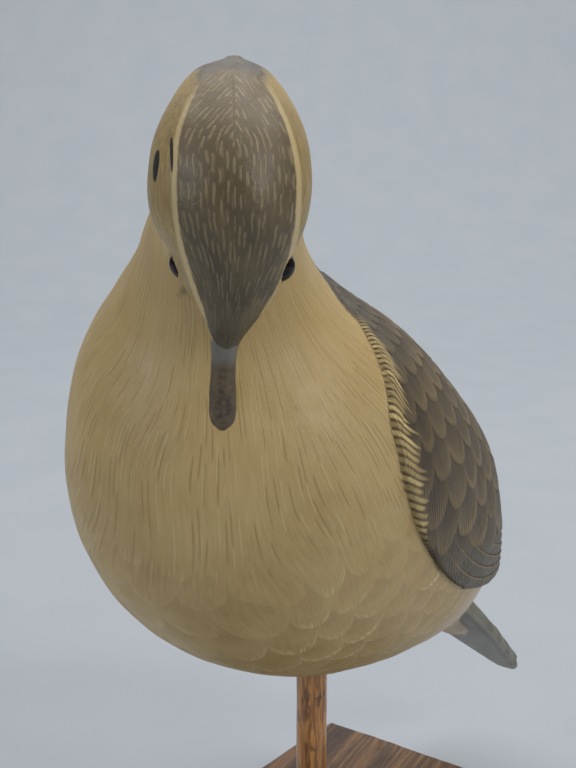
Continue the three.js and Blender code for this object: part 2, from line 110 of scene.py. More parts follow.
# Bill carving: grooves on top and the line between the mandibles
BILL_GROOVES = ((-0.55, 33.5, 40.2), (0.95, 34.5, 39.6))
BILL_GROOVE_WIDTH = 0.42
BILL_GROOVE_DEPTH = 0.32
GAPE_UP = -2.35
GAPE_FROM = 25.0
GAPE_DEPTH = 0.28

# Dark cap: station, middle, half width, across the head
CAP_STATIONS = [
    (-27.6, 0.5, 2.4), (-23.5, 0.7, 4.5), (-17.3, 1.1, 7.3), (-10.5, 1.5, 9.4),
    (-5.0, 1.95, 10.15), (1.0, 2.15, 10.25), (6.8, 2.2, 9.7), (13.5, 2.2, 7.9),
    (19.7, 1.6, 5.2), (24.1, 0.9, 3.2), (26.0, 0.6, 1.6), (27.2, 0.5, -1.0), (42.0, 0.5, -12.0),
]

# Wing outline: distance along the body axis, angle from the back line
WING_LOWER = [
    (46, 33), (43.5, 52), (41.4, 67), (39.7, 79.5), (35.7, 87.5), (31.3, 94), (25, 100.5),
    (18.8, 104.7), (9, 108.6), (-6.5, 112), (-20.5, 112.5), (-36, 110.5), (-49, 107),
    (-62, 101), (-74, 93), (-84, 82), (-90, 71),
]
WING_INNER = [
    (46, 30), (44, 18), (39, 11), (30, 8), (20, 7), (8, 7), (-5, 8), (-20, 9.5), (-35, 12),
    (-50, 16), (-62, 23), (-72, 33), (-80, 43), (-85, 52), (-88.5, 60), (-90, 66), (-90, 70),
]
WING_PROUD_EDGE = 1.6
WING_PROUD_MIDDLE = 0.45
WING_PROUD_FRONT = 0.35
WING_RAMP = 20.0
WING_ROOT_DEPTH = 4.0
WING_FREE_FROM = -36.0
WING_FREE_SLOPE = 0.35
WING_FREE_BEND = 0.0016
WING_EDGE_ROUND = 1.1

# Feather rows on the wing fan out from a point ahead of the shoulder
FAN_ALONG = 75.0
FAN_RADIUS = 42.0
FEATHERS_PER_RADIAN = 9.5
COVERT_LENGTH = 4.0
COVERT_GROWTH = 0.05
LONG_FEATHERS_FROM = 112.0
LONG_FEATHER_GROWTH = 0.3
SCALLOP_TIP = 0.72
COVERT_STEP = 0.26
FLIGHT_WIDTH = 3.4
FLIGHT_STEP = 0.42

# Brown of the back: distance along the body axis, angle from the back line that it reaches
MANTLE_STATIONS = [
    (-130, 80), (-95, 75), (-60, 75), (-40, 90), (30, 62), (36, 57), (42, 52), (44, 47),
    (48, 42), (50, 35), (54, 27), (60, 18),
]
# and its half width up the hind neck
HIND_NECK_STATIONS = [(50, 26), (60, 17), (75, 10), (95, 7), (115, 6)]

# Feather rows on the breast fan out from the neck
BREAST_POLE = np.array([0.17, -0.62, 0.77])
BREAST_CELLS = 30
BREAST_ROW = 7.6
BREAST_RADIUS = 47.0

# Tail: a long tapering blade with feathers stepped up towards the middle
TAIL_SLOPE = math.radians(37.2)
TAIL_ROOT = np.array([0.0, 48.8, 79.6])
TAIL_STATIONS = [
    (-14, 10.5, 3.2), (0, 12.6, 3.0), (18, 12.8, 2.6), (36, 11.6, 2.3), (52, 9.4, 2.0),
    (64, 7.4, 1.8), (74, 5.8, 1.6), (80, 4.6, 1.5), (83, 3.2, 1.3), (84, 1.6, 0.9),
]
TAIL_END = 84.0
# Widest half width, height above the blade and end of each upper layer
TAIL_LAYERS = ((10.2, 0.35, 73.0), (7.9, 0.72, 79.0), (5.6, 1.1, 84.0))

# Meshing
CELL = 0.55
BLOCK_CELLS = 8
TRIANGLE_LIMIT = 194000
FAR = 1e3

# Camera, solved from the photograph's 576 x 768 frame
CAMERA_AT = (163.6, -227.3, 196.0)
CAMERA_YAW = math.radians(37)
CAMERA_DOWN = math.radians(10.5)
CAMERA_LENS = 54.1


def srgb(red, green, blue):
    """Linear colour of an 8-bit display colour."""
    def one(v):
        v /= 255
        return v / 12.92 if v <= 0.04045 else ((v + 0.055) / 1.055) ** 2.4
    return (one(red), one(green), one(blue), 1.0)


# Paints
GOLD = srgb(186, 160, 108)
GOLD_DARK = srgb(164, 138, 88)
GOLD_LIGHT = srgb(206, 184, 136)
GOLD_TIP = srgb(226, 206, 156)
GOLD_DEEP = srgb(132, 106, 62)
VENT = srgb(205, 186, 166)
TAUPE = srgb(108, 94, 70)
TAUPE_DARK = srgb(88, 76, 57)
# painted shade: coverts darken into this towards the crease under the next feather
TAUPE_PAINTED_SHADE = srgb(66, 56, 42)
# dark barb lines on the wing, and painted shade at the foot of each flight-feather step
TAUPE_BLACK = srgb(44, 38, 30)
TAUPE_EDGE = srgb(146, 126, 90)
MANTLE_GREY = srgb(104, 99, 88)
FLIGHT = srgb(92, 84, 70)
FRINGE = srgb(222, 198, 140)
FRINGE_DARK = srgb(150, 124, 72)
TAIL = srgb(124, 114, 94)
TAIL_GREY = srgb(112, 114, 102)
TAIL_LIGHT = srgb(152, 144, 126)
TAIL_DARK = srgb(66, 62, 54)
TAIL_UNDER = srgb(132, 130, 122)
CROWN_BROWN = srgb(92, 78, 60)
CROWN_BLACK = srgb(24, 20, 15)
CROWN_SOFT = srgb(96, 82, 64)
CROWN_STROKE = srgb(148, 132, 102)
CHEEK = srgb(160, 138, 90)
CHEEK_DARK = srgb(134, 114, 74)
CHEEK_LIGHT = srgb(188, 166, 120)
BROW = srgb(206, 186, 140)
CERE = srgb(96, 98, 98)
BILL = srgb(60, 50, 42)
BILL_LIGHT = srgb(84, 72, 60)
MARK_BLACK = srgb(26, 24, 22)
EYE_BLACK = srgb(9, 8, 8)
EYE_BROWN = srgb(38, 22, 14)
POST_GOLD = srgb(196, 140, 78)
POST_BROWN = srgb(128, 84, 44)
POST_DARK = srgb(78, 54, 34)
WALNUT = srgb(128, 92, 58)
WALNUT_LIGHT = srgb(172, 132, 88)
WALNUT_DARK = srgb(70, 50, 34)
FLOOR = srgb(176, 182, 188)
FLOOR_MOTTLE = srgb(170, 176, 183)

# Marks behind the eyes: left, forward, up; half sizes; bend
EAR_MARKS = [
    ((-14.2, -5.3, 6.4), (0.9, 3.6, 1.6), 0.0),
    ((13.0, -5.2, 6.1), (0.8, 3.4, 1.2), 0.0),
    ((-11.2, -7.5, 10.2), (0.32, 4.4, 3.0), 0.0),
]

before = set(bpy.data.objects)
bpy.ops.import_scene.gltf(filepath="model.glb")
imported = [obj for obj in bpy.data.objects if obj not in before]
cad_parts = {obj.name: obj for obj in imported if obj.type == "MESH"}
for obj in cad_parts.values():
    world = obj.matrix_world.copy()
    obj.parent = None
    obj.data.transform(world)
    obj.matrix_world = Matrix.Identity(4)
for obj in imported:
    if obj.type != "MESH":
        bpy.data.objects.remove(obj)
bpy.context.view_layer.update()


def unit(vector):
    return vector / np.linalg.norm(vector)


ALONG = np.array([0.0, -math.cos(BODY_TILT), math.sin(BODY_TILT)])
BACK = np.array([0.0, math.sin(BODY_TILT), math.cos(BODY_TILT)])
SIDE = np.array([1.0, 0.0, 0.0])
UP = np.array([0.0, 0.0, 1.0])
TURNED = np.array([math.sin(HEAD_TURN), -math.cos(HEAD_TURN), 0.0])
TURNED_LEFT = np.array([math.cos(HEAD_TURN), math.sin(HEAD_TURN), 0.0])
HEAD_F = TURNED * math.cos(HEAD_BOW) - UP * math.sin(HEAD_BOW)
BOWED_UP = UP * math.cos(HEAD_BOW) + TURNED * math.sin(HEAD_BOW)
HEAD_L = TURNED_LEFT * math.cos(HEAD_ROLL) + BOWED_UP * math.sin(HEAD_ROLL)
HEAD_U = BOWED_UP * math.cos(HEAD_ROLL) - TURNED_LEFT * math.sin(HEAD_ROLL)
TAIL_WAY = np.array([0.0, math.cos(TAIL_SLOPE), -math.sin(TAIL_SLOPE)])
TAIL_UP = np.array([0.0, math.sin(TAIL_SLOPE), math.cos(TAIL_SLOPE)])


def head_point(left, forward, up):
    return HEAD_CENTRE + HEAD_L * left + HEAD_F * forward + HEAD_U * up


NECK_TOP = head_point(0, -NECK_TOP_BEHIND, -NECK_TOP_UNDER_CROWN)
NAPE_TOP = head_point(0, -NAPE_TOP_BEHIND, -NAPE_TOP_UNDER_CROWN)
RUMP_A = BODY_CENTRE + ALONG * RUMP_START
RUMP_B = BODY_CENTRE + ALONG * RUMP_END - BACK * RUMP_DROP
COVERT_TIP = TAIL_ROOT + TAIL_WAY * COVERT_REACH
EYES = {s: head_point(EYE_MIDDLE + s * EYE_SIDE, EYE_FORWARD, EYE_UP) for s in (1, -1)}


def cubic(stations, column, samples=1500):
    """Smooth curve through the stations, as a function of the first column."""
    t = np.array([row[0] for row in stations], float)
    v = np.array([row[column] for row in stations], float)
    steps = np.diff(t)
    rise = np.diff(v) / steps
    slope = np.empty(len(t))
    slope[0], slope[-1] = rise[0], rise[-1]
    slope[1:-1] = (rise[:-1] * steps[1:] + rise[1:] * steps[:-1]) / (steps[1:] + steps[:-1])
    x = np.linspace(t[0], t[-1], samples)
    i = np.clip(np.searchsorted(t, x, side="right") - 1, 0, len(t) - 2)
    h = steps[i]
    u = (x - t[i]) / h
    y = (
        (2 * u**3 - 3 * u**2 + 1) * v[i]
        + (u**3 - 2 * u**2 + u) * h * slope[i]
        + (3 * u**2 - 2 * u**3) * v[i + 1]
        + (u**3 - u**2) * h * slope[i + 1]
    )
    return lambda q: np.interp(q, x, y)


head_width = cubic(HEAD_STATIONS, 1)
head_crown = cubic(HEAD_STATIONS, 2)
head_throat = cubic(HEAD_STATIONS, 3)
head_middle = cubic(HEAD_MIDDLES, 1)
cap_middle = cubic(CAP_STATIONS, 1)
cap_half = cubic(CAP_STATIONS, 2)
tail_width = cubic(TAIL_STATIONS, 1)
tail_thick = cubic(TAIL_STATIONS, 2)


def smooth_min(a, b, k):
    h = np.clip(0.5 + 0.5 * (b - a) / k, 0, 1)
    return b + (a - b) * h - k * h * (1 - h)


def smooth_max(a, b, k):
    return -smooth_min(-a, -b, k)


def smooth_step(x, low, high):
    t = np.clip((x - low) / (high - low), 0, 1)
    return t * t * (3 - 2 * t)


def taper(p, a, b, radius_a, radius_b):
    ab = b - a
    ap = p - a
    t = np.clip(ap @ ab / (ab @ ab), 0, 1)
    return np.linalg.norm(ap - t[:, None] * ab, axis=1) - (radius_a + (radius_b - radius_a) * t)


def body_axes(p):
    """Distance along the body axis, to the bird's left, and towards its back."""
    c = p - BODY_CENTRE
    return c @ ALONG, c[:, 0], c @ BACK


def head_axes(p):
    """Left, forward and up of the skull."""
    c = p - HEAD_CENTRE
    return c @ HEAD_L, c @ HEAD_F, c @ HEAD_U


def tail_axes(p):
    """Distance along the tail, to the left, and above its middle plane."""
    c = p - TAIL_ROOT
    return c @ TAIL_WAY, c[:, 0], c @ TAIL_UP


def body_field(p):
    s, side, high = body_axes(p)
    egg = 1 + BODY_EGG * np.clip(s / BODY_HALF_LENGTH, -1.2, 1.2)
    depth = np.where(high < 0, BODY_BELLY_DEPTH, BODY_BACK_DEPTH)
    x = side / egg
    y = high / egg
    near = np.sqrt((x / BODY_HALF_WIDTH) ** 2 + (s / BODY_HALF_LENGTH) ** 2 + (y / depth) ** 2)
    steep = np.sqrt(
        (x / BODY_HALF_WIDTH**2) ** 2 + (s / BODY_HALF_LENGTH**2) ** 2 + (y / depth**2) ** 2
    )
    egged = near * (near - 1) / np.maximum(steep, 1e-9)
    rump = taper(p, RUMP_A, RUMP_B, RUMP_START_RADIUS, RUMP_END_RADIUS)
    coverts = taper(p, RUMP_B, COVERT_TIP, RUMP_END_RADIUS, COVERT_END_RADIUS)
    return smooth_min(smooth_min(egged, rump, RUMP_BLEND), coverts, COVERT_BLEND)


def head_field(p):
    x, f, y = head_axes(p)
    x = x - head_middle(f)
    w = head_width(f)
    top = head_crown(f)
    bottom = head_throat(f)
    half = (top - bottom) / 2
    a = x / w
    b = (y - (top + bottom) / 2) / half
    g = np.hypot(a, b) + 1e-9
    d = (g - 1) / np.maximum(np.hypot(a / w, b / half) / g, 1e-6)
    over = np.maximum(f - HEAD_STATIONS[-1][0], HEAD_STATIONS[0][0] - f)
    return np.where(over > 0, np.hypot(np.maximum(d, 0), over), d * 0.85)


def bird_field(p):
    """Body, neck and head without wings and tail: negative inside."""
    neck = taper(p, NECK_BOTTOM, NECK_TOP, NECK_BOTTOM_RADIUS, NECK_TOP_RADIUS)
    nape = taper(p, NAPE_BOTTOM, NAPE_TOP, NAPE_BOTTOM_RADIUS, NAPE_TOP_RADIUS)
    necks = smooth_min(neck, nape, NAPE_BLEND)
    return smooth_min(smooth_min(body_field(p), necks, NECK_BLEND), head_field(p), HEAD_BLEND)


def rounded(points, count=8):
    """Catmull-Rom curve through points, with count steps to each span."""
    p = np.array(points, float)
    p = np.vstack([2 * p[0] - p[1], p, 2 * p[-1] - p[-2]])
    u = np.linspace(0, 1, count, endpoint=False)[:, None]
    spans = []
    for a, b, c, d in zip(p[:-3], p[1:-2], p[2:-1], p[3:]):
        spans.append(
            0.5 * (2 * b + (c - a) * u + (2 * a - 5 * b + 4 * c - d) * u**2
                   + (3 * b - a - 3 * c + d) * u**3)
        )
    return np.vstack(spans + [p[-2:-1]])


class WingPlan:
    """Distances to the wing's outline on the flattened body, kept on a grid and read back smoothly."""

    ALONG_RANGE = (-104.0, 60.0)
    ANGLE_RANGE = (0.0, 140.0)
    STEP = 0.5
    ANGLE_STEP = 0.75

    def __init__(self):
        s = np.arange(*self.ALONG_RANGE, self.STEP)
        angle = np.arange(*self.ANGLE_RANGE, self.ANGLE_STEP)
        self.shape = (len(s), len(angle))
        grid_s, grid_a = (g.ravel() for g in np.meshgrid(s, np.radians(angle), indexing="ij"))
        reach = FAN_RADIUS * np.sqrt(np.clip(1 - (grid_s / 108) ** 2, 0.2, 1))
        low = rounded([(a, math.radians(b)) for a, b in WING_LOWER])
        inner = rounded([(a, math.radians(b)) for a, b in WING_INNER])
        self.to_lower, self.run = self.nearest(grid_s, grid_a, reach, low)
        self.to_inner, _ = self.nearest(grid_s, grid_a, reach, inner)
        inside = self.holds(grid_s, grid_a, np.vstack([low, inner[::-1]]))
        self.out = np.minimum(self.to_lower, self.to_inner) * np.where(inside, -1, 1)

    @staticmethod
    def nearest(s, angle, reach, line):
        """Distance to a polyline and the arc length at the nearest point."""
        best = np.full(len(s), FAR)
        run = np.zeros(len(s))
        length = 0.0
        for (s0, a0), (s1, a1) in zip(line[:-1], line[1:]):
            ds, da = s1 - s0, (a1 - a0) * reach
            ps, pa = s - s0, (angle - a0) * reach
            size = ds * ds + da * da
            t = np.clip((ps * ds + pa * da) / size, 0, 1)
            d = np.hypot(ps - t * ds, pa - t * da)
            closer = d < best
            best = np.where(closer, d, best)
            step = math.hypot(ds, (a1 - a0) * FAN_RADIUS)
            run = np.where(closer, length + t * step, run)
            length += step
        return best, run

    @staticmethod
    def holds(s, angle, polygon):
        inside = np.zeros(len(s), bool)
        for (s0, a0), (s1, a1) in zip(polygon, np.roll(polygon, -1, axis=0)):
            if a0 == a1:
                continue
            crosses = ((a0 > angle) != (a1 > angle)) & (
                s < (s1 - s0) * (angle - a0) / (a1 - a0) + s0
            )
            inside ^= crosses
        return inside

    def read(self, table, s, angle):
        """Bilinear value of one of the tables; angle in radians, either side."""
        x = np.clip((s - self.ALONG_RANGE[0]) / self.STEP, 0, self.shape[0] - 1.001)
        y = np.clip(np.degrees(np.abs(angle)) / self.ANGLE_STEP, 0, self.shape[1] - 1.001)
        i, j = x.astype(int), y.astype(int)
        fx, fy = x - i, y - j
        t = table.reshape(self.shape)
        low = t[i, j] * (1 - fx) + t[i + 1, j] * fx
        high = t[i, j + 1] * (1 - fx) + t[i + 1, j + 1] * fx
        return low * (1 - fy) + high * fy


wing_plan = WingPlan()


def wing_field(p, bird):
    """The two wing plates: negative inside. bird is bird_field(p)."""
    s, side, high = body_axes(p)
    angle = np.arctan2(np.abs(side), high)
    out = wing_plan.read(wing_plan.out, s, angle)
    past = np.maximum(WING_FREE_FROM - s, 0)
    fall = past * WING_FREE_SLOPE + past * past * WING_FREE_BEND
    held = bird.copy()
    free = (past > 0) & (out < 4)
    if free.any():
        radius = np.hypot(side[free], high[free]) + 1e-9
        grow = (fall[free] / radius)[:, None]
        outward = side[free, None] * SIDE + high[free, None] * BACK
        held[free] = bird_field(p[free] + past[free, None] * ALONG + outward * grow)
    lower = wing_plan.read(wing_plan.to_lower, s, angle)
    inner = wing_plan.read(wing_plan.to_inner, s, angle)
    share = inner / (inner + lower + 1e-6)
    from_shoulder = np.hypot(s - WING_LOWER[0][0], (angle - math.radians(31.5)) * FAN_RADIUS)
    ramp = np.clip(from_shoulder / WING_RAMP, 0, 1)
    lift = (WING_PROUD_EDGE - WING_PROUD_MIDDLE) * share**3
    proud = WING_PROUD_FRONT + ramp * (WING_PROUD_MIDDLE - WING_PROUD_FRONT + lift)
    depth = WING_ROOT_DEPTH - 1.2 * np.minimum(past / 30, 1)
    plate = np.maximum(held - proud, -depth - held)
    return smooth_max(plate, out, WING_EDGE_ROUND)


def tail_field(p):
    d, side, high = tail_axes(p)
    thick = tail_thick(d)
    width = tail_width(d)
    lean = np.hypot(1, (tail_width(d + 0.5) - tail_width(d - 0.5)))
    ends = np.maximum(d - TAIL_END, TAIL_STATIONS[0][0] - d)
    blade = smooth_max((np.abs(side) - width) / lean, np.abs(high) - thick, 1.8)
    for half, lift, end in TAIL_LAYERS:
        point = half * np.sqrt(np.clip(1 - np.clip((d - end + 14) / 14, 0, 1) ** 2, 0, 1))
        edge = np.minimum(point, width - 0.4)
        layer = smooth_max(np.abs(side) - edge, np.abs(high - lift) - thick, 0.5)
        blade = smooth_min(blade, np.maximum(layer, d - end), 0.25)
    return np.maximum(blade, ends)


def carve_head(p, field):
    """Eye sockets with raised lids."""
    left, forward, up = head_axes(p)
    for eye in EYES.values():
        from_eye = np.linalg.norm(p - eye, axis=1)
        lid = np.maximum(np.abs(from_eye - EYE_RADIUS - 0.2) - LID_WIDTH, field - LID_RISE)
        field = smooth_min(field, lid, 0.3)
        field = np.maximum(field, EYE_RADIUS - 0.05 - from_eye)
    return field


def dove_field(p):
    bird = bird_field(p)
    field = smooth_min(bird, wing_field(p, bird), 0.3)
    field = smooth_min(field, tail_field(p), 0.8)
    near_head = np.linalg.norm(p - HEAD_CENTRE, axis=1) < 30
    if near_head.any():
        field[near_head] = carve_head(p[near_head], field[near_head])
    socket = np.maximum(np.hypot(p[:, 0], p[:, 1]) - POST_RADIUS - 0.05, p[:, 2] - POST_TOP_Z)
    return np.maximum(field, -socket)


def in_chunks(function, p, size=120000):
    return np.concatenate([function(p[i:i + size]) for i in range(0, len(p), size)])


def sampled_field(low, high):
    """The field on a full grid, worked out only in blocks that the surface passes through."""
    block = CELL * BLOCK_CELLS
    blocks = np.ceil((high - low) / block).astype(int)
    index = np.stack(np.meshgrid(*[np.arange(n) for n in blocks], indexing="ij"), -1).reshape(-1, 3)
    middle = in_chunks(dove_field, low + (index + 0.5) * block)
    grid = np.empty(blocks * BLOCK_CELLS + 1, np.float32)
    sign = np.where(middle < 0, -FAR, FAR).reshape(blocks)
    grid[:] = FAR
    grid[:-1, :-1, :-1] = sign.repeat(BLOCK_CELLS, 0).repeat(BLOCK_CELLS, 1).repeat(BLOCK_CELLS, 2)
    near = index[np.abs(middle) < block * 0.87 * 1.6 + 1.5]
    offsets = np.stack(np.meshgrid(*[np.arange(BLOCK_CELLS + 1)] * 3, indexing="ij"), -1)
    offsets = offsets.reshape(-1, 3)
    step = 400
    for i in range(0, len(near), step):
        cells = (near[i:i + step, None, :] * BLOCK_CELLS + offsets).reshape(-1, 3)
        grid[cells[:, 0], cells[:, 1], cells[:, 2]] = dove_field(low + cells * CELL)
    return grid


def surface_net(grid, low):
    """Vertices and quads of the zero surface, one vertex in each cell that it crosses."""
    inside = grid < 0
    size = np.array(grid.shape) - 1
    corners = [(i, j, k) for i in (0, 1) for j in (0, 1) for k in (0, 1)]
    view = {c: tuple(slice(c[a], size[a] + c[a]) for a in range(3)) for c in corners}
    count = sum(inside[view[c]].astype(np.int8) for c in corners)
    mixed = (count > 0) & (count < 8)
    cell = np.argwhere(mixed)
    number = np.full(mixed.shape, -1, np.int32)
    number[mixed] = np.arange(len(cell))
    value = {c: grid[cell[:, 0] + c[0], cell[:, 1] + c[1], cell[:, 2] + c[2]] for c in corners}
    total = np.zeros((len(cell), 3))
    weight = np.zeros(len(cell))
    for a in corners:
        for axis in range(3):
            if a[axis]:
                continue
            b = tuple(v + (n == axis) for n, v in enumerate(a))
            crossed = (value[a] < 0) != (value[b] < 0)
            share = np.where(crossed, value[a] / np.where(crossed, value[a] - value[b], 1), 0)
            point = np.array(a, float) + share[:, None] * np.eye(3)[axis]
            total += point * crossed[:, None]
            weight += crossed
    vertices = low + (cell + total / weight[:, None]) * CELL
    quads = []
    for axis in range(3):
        u, v = (axis + 1) % 3, (axis + 2) % 3
        here = [slice(1, size[a]) for a in range(3)]
        here[axis] = slice(0, size[axis])
        there = list(here)
        there[axis] = slice(1, size[axis] + 1)
        first, second = inside[tuple(here)], inside[tuple(there)]
        for flip, crossed in ((False, first & ~second), (True, ~first & second)):
            at = np.argwhere(crossed)
            at[:, u] += 1
            at[:, v] += 1
            ring = []
            for du, dv in ((0, 0), (-1, 0), (-1, -1), (0, -1)):
                q = at.copy()
                q[:, u] += du
                q[:, v] += dv
                ring.append(number[q[:, 0], q[:, 1], q[:, 2]])
            quads.append(np.stack(ring[::-1] if flip else ring, 1))
    return vertices, np.vstack(quads)


def gradient(function, p, h=0.05):
    return np.stack([
        (in_chunks(function, p + h * axis) - in_chunks(function, p - h * axis)) / (2 * h)
        for axis in np.eye(3)
    ], 1)


def settle(p, rounds=2):
    """Moves vertices onto the surface."""
    for _ in range(rounds):
        slope = gradient(dove_field, p)
        value = in_chunks(dove_field, p)
        step = value[:, None] * slope / np.maximum((slope * slope).sum(1), 0.2)[:, None]
        length = np.linalg.norm(step, axis=1)[:, None]
        p = p - step * np.minimum(1, 0.4 / np.maximum(length, 1e-9))
    return p


def new_mesh(name, vertices, faces):
    """Mesh object in metres from millimetre vertices and equal-sided faces."""
    mesh = bpy.data.meshes.new(name)
    sides = faces.shape[1]
    mesh.vertices.add(len(vertices))
    mesh.vertices.foreach_set("co", (vertices * MM).astype(np.float32).ravel())
    mesh.loops.add(faces.size)
    mesh.loops.foreach_set("vertex_index", faces.astype(np.int32).ravel())
    mesh.polygons.add(len(faces))
    mesh.polygons.foreach_set("loop_start", np.arange(0, faces.size, sides, dtype=np.int32))
    mesh.update(calc_edges=True)
    mesh.polygons.foreach_set("use_smooth", np.ones(len(faces), bool))
    piece = bpy.data.objects.new(name, mesh)
    bpy.context.scene.collection.objects.link(piece)
    return piece


def baked(piece):
    """Applies the piece's modifiers."""
    graph = bpy.context.evaluated_depsgraph_get()
    mesh = bpy.data.meshes.new_from_object(piece.evaluated_get(graph))
    old = piece.data
    piece.modifiers.clear()
    piece.data = mesh
    mesh.name = piece.name
    bpy.data.meshes.remove(old)
    return piece


def thinned(piece, limit):
    """Collapses edges where the surface is plain until the piece has at most limit triangles."""
    triangles = sum(len(p.vertices) - 2 for p in piece.data.polygons)
    if triangles > limit:
        fewer = piece.modifiers.new("thin", "DECIMATE")
        fewer.ratio = limit / triangles
        baked(piece)
    return piece


def points_of(mesh):
    co = np.empty(len(mesh.vertices) * 3, np.float32)
    mesh.vertices.foreach_get("co", co)
    return co.reshape(-1, 3).astype(float) / MM


def normals_of(mesh):
    n = np.empty(len(mesh.vertices) * 3, np.float32)
    mesh.vertex_normals.foreach_get("vector", n)
    return n.reshape(-1, 3).astype(float)


class Wire:
    """A value in a node tree, so that the formulas below read as formulas."""

    def __init__(self, tree, socket):
        self.tree = tree
        self.socket = socket

    def __add__(self, other):
        return calc(self.tree, "ADD", self, other)

    def __sub__(self, other):
        return calc(self.tree, "SUBTRACT", self, other)

    def __mul__(self, other):
        return calc(self.tree, "MULTIPLY", self, other)

    def __truediv__(self, other):
        return calc(self.tree, "DIVIDE", self, other)

    def __rsub__(self, other):
        return calc(self.tree, "SUBTRACT", other, self)

    def __rtruediv__(self, other):
        return calc(self.tree, "DIVIDE", other, self)

    def __neg__(self):
        return calc(self.tree, "MULTIPLY", self, -1.0)

    __radd__ = __add__
    __rmul__ = __mul__


def put(tree, value, socket):
    if isinstance(value, Wire):
        tree.links.new(value.socket, socket)
    else:
        socket.default_value = value


def calc(tree, operation, *values):
    node = tree.nodes.new("ShaderNodeMath")
    node.operation = operation
    for value, socket in zip(values, node.inputs):
        put(tree, value, socket)
    return Wire(tree, node.outputs[0])


def floor_of(x):
    return calc(x.tree, "FLOOR", x) if isinstance(x, Wire) else np.floor(x)


def root_of(x):
    """Square root of x, or nothing where x is negative."""
    if isinstance(x, Wire):
        return calc(x.tree, "SQRT", calc(x.tree, "MAXIMUM", x, 0.0))
    return np.sqrt(np.maximum(x, 0))


def is_less(x, y):
    return calc(x.tree, "LESS_THAN", x, y) if isinstance(x, Wire) else (x < y).astype(float)


def size_of(x):
    return calc(x.tree, "ABSOLUTE", x) if isinstance(x, Wire) else np.abs(x)


def least(x, y):
    return calc(x.tree, "MINIMUM", x, y)


def most(x, y):
    return calc(x.tree, "MAXIMUM", x, y)


def sine(x):
    return calc(x.tree, "SINE", x)


def ramp(x, low, high, start=0.0, end=1.0):
    """Smooth change from start to end as x goes from low to high."""
    if not isinstance(x, Wire):
        return start + (end - start) * smooth_step(x, low, high)
    node = x.tree.nodes.new("ShaderNodeMapRange")
    node.interpolation_type = "SMOOTHSTEP"
    for value, key in zip((x, low, high, start, end),
                          ("Value", "From Min", "From Max", "To Min", "To Max")):
        put(x.tree, value, node.inputs[key])
    return Wire(x.tree, node.outputs["Result"])


def fraction_of(x):
    return x - floor_of(x)


def scallops(u, v):
    """Overlapping rounded feathers on a lattice, tips towards +v, one feather wide in u.

    Gives the distance in from the feather's tip edge, the place across it, and its column and row.
    It works on numbers and on node wires alike."""
    row = floor_of(v)
    y = v - row
    odd = row - 2 * floor_of(row * 0.5)
    u_this = u + 0.5 * odd
    u_above = u + 0.5 - 0.5 * odd
    x_this = fraction_of(u_this) - 0.5
    x_above = fraction_of(u_above) - 0.5
    tip_this = SCALLOP_TIP * root_of(1 - 4 * x_this * x_this)
    tip_above = SCALLOP_TIP * root_of(1 - 4 * x_above * x_above)
    above = is_less(y, tip_above)
    below = 1 - above
    edge = above * (tip_above - y) + below * (1 - y + tip_this)
    across = above * x_above + below * x_this
    column = above * floor_of(u_above) + below * floor_of(u_this)
    return edge, across, column, row - above


def slow_waves(p, length, count=10, seed=3):
    """Gentle unevenness from a few crossing waves, about -1 to 1."""
    rng = np.random.default_rng(seed)
    way = rng.normal(size=(count, 3))
    way *= (2 * math.pi / length) * rng.uniform(0.6, 1.5, count)[:, None] / np.linalg.norm(
        way, axis=1)[:, None]
    phase = rng.uniform(0, 2 * math.pi, count)
    return np.sin(p @ way.T + phase).sum(1) / math.sqrt(count)


FAN_TABLE_REACH = np.linspace(0, 260, 2000)
FAN_ROW_LENGTH = (
    COVERT_LENGTH + COVERT_GROWTH * FAN_TABLE_REACH
    + LONG_FEATHER_GROWTH * np.maximum(FAN_TABLE_REACH - LONG_FEATHERS_FROM, 0)
)
FAN_TABLE_ROW = np.concatenate(
    [[0], np.cumsum(np.diff(FAN_TABLE_REACH) / FAN_ROW_LENGTH[:-1])]
)


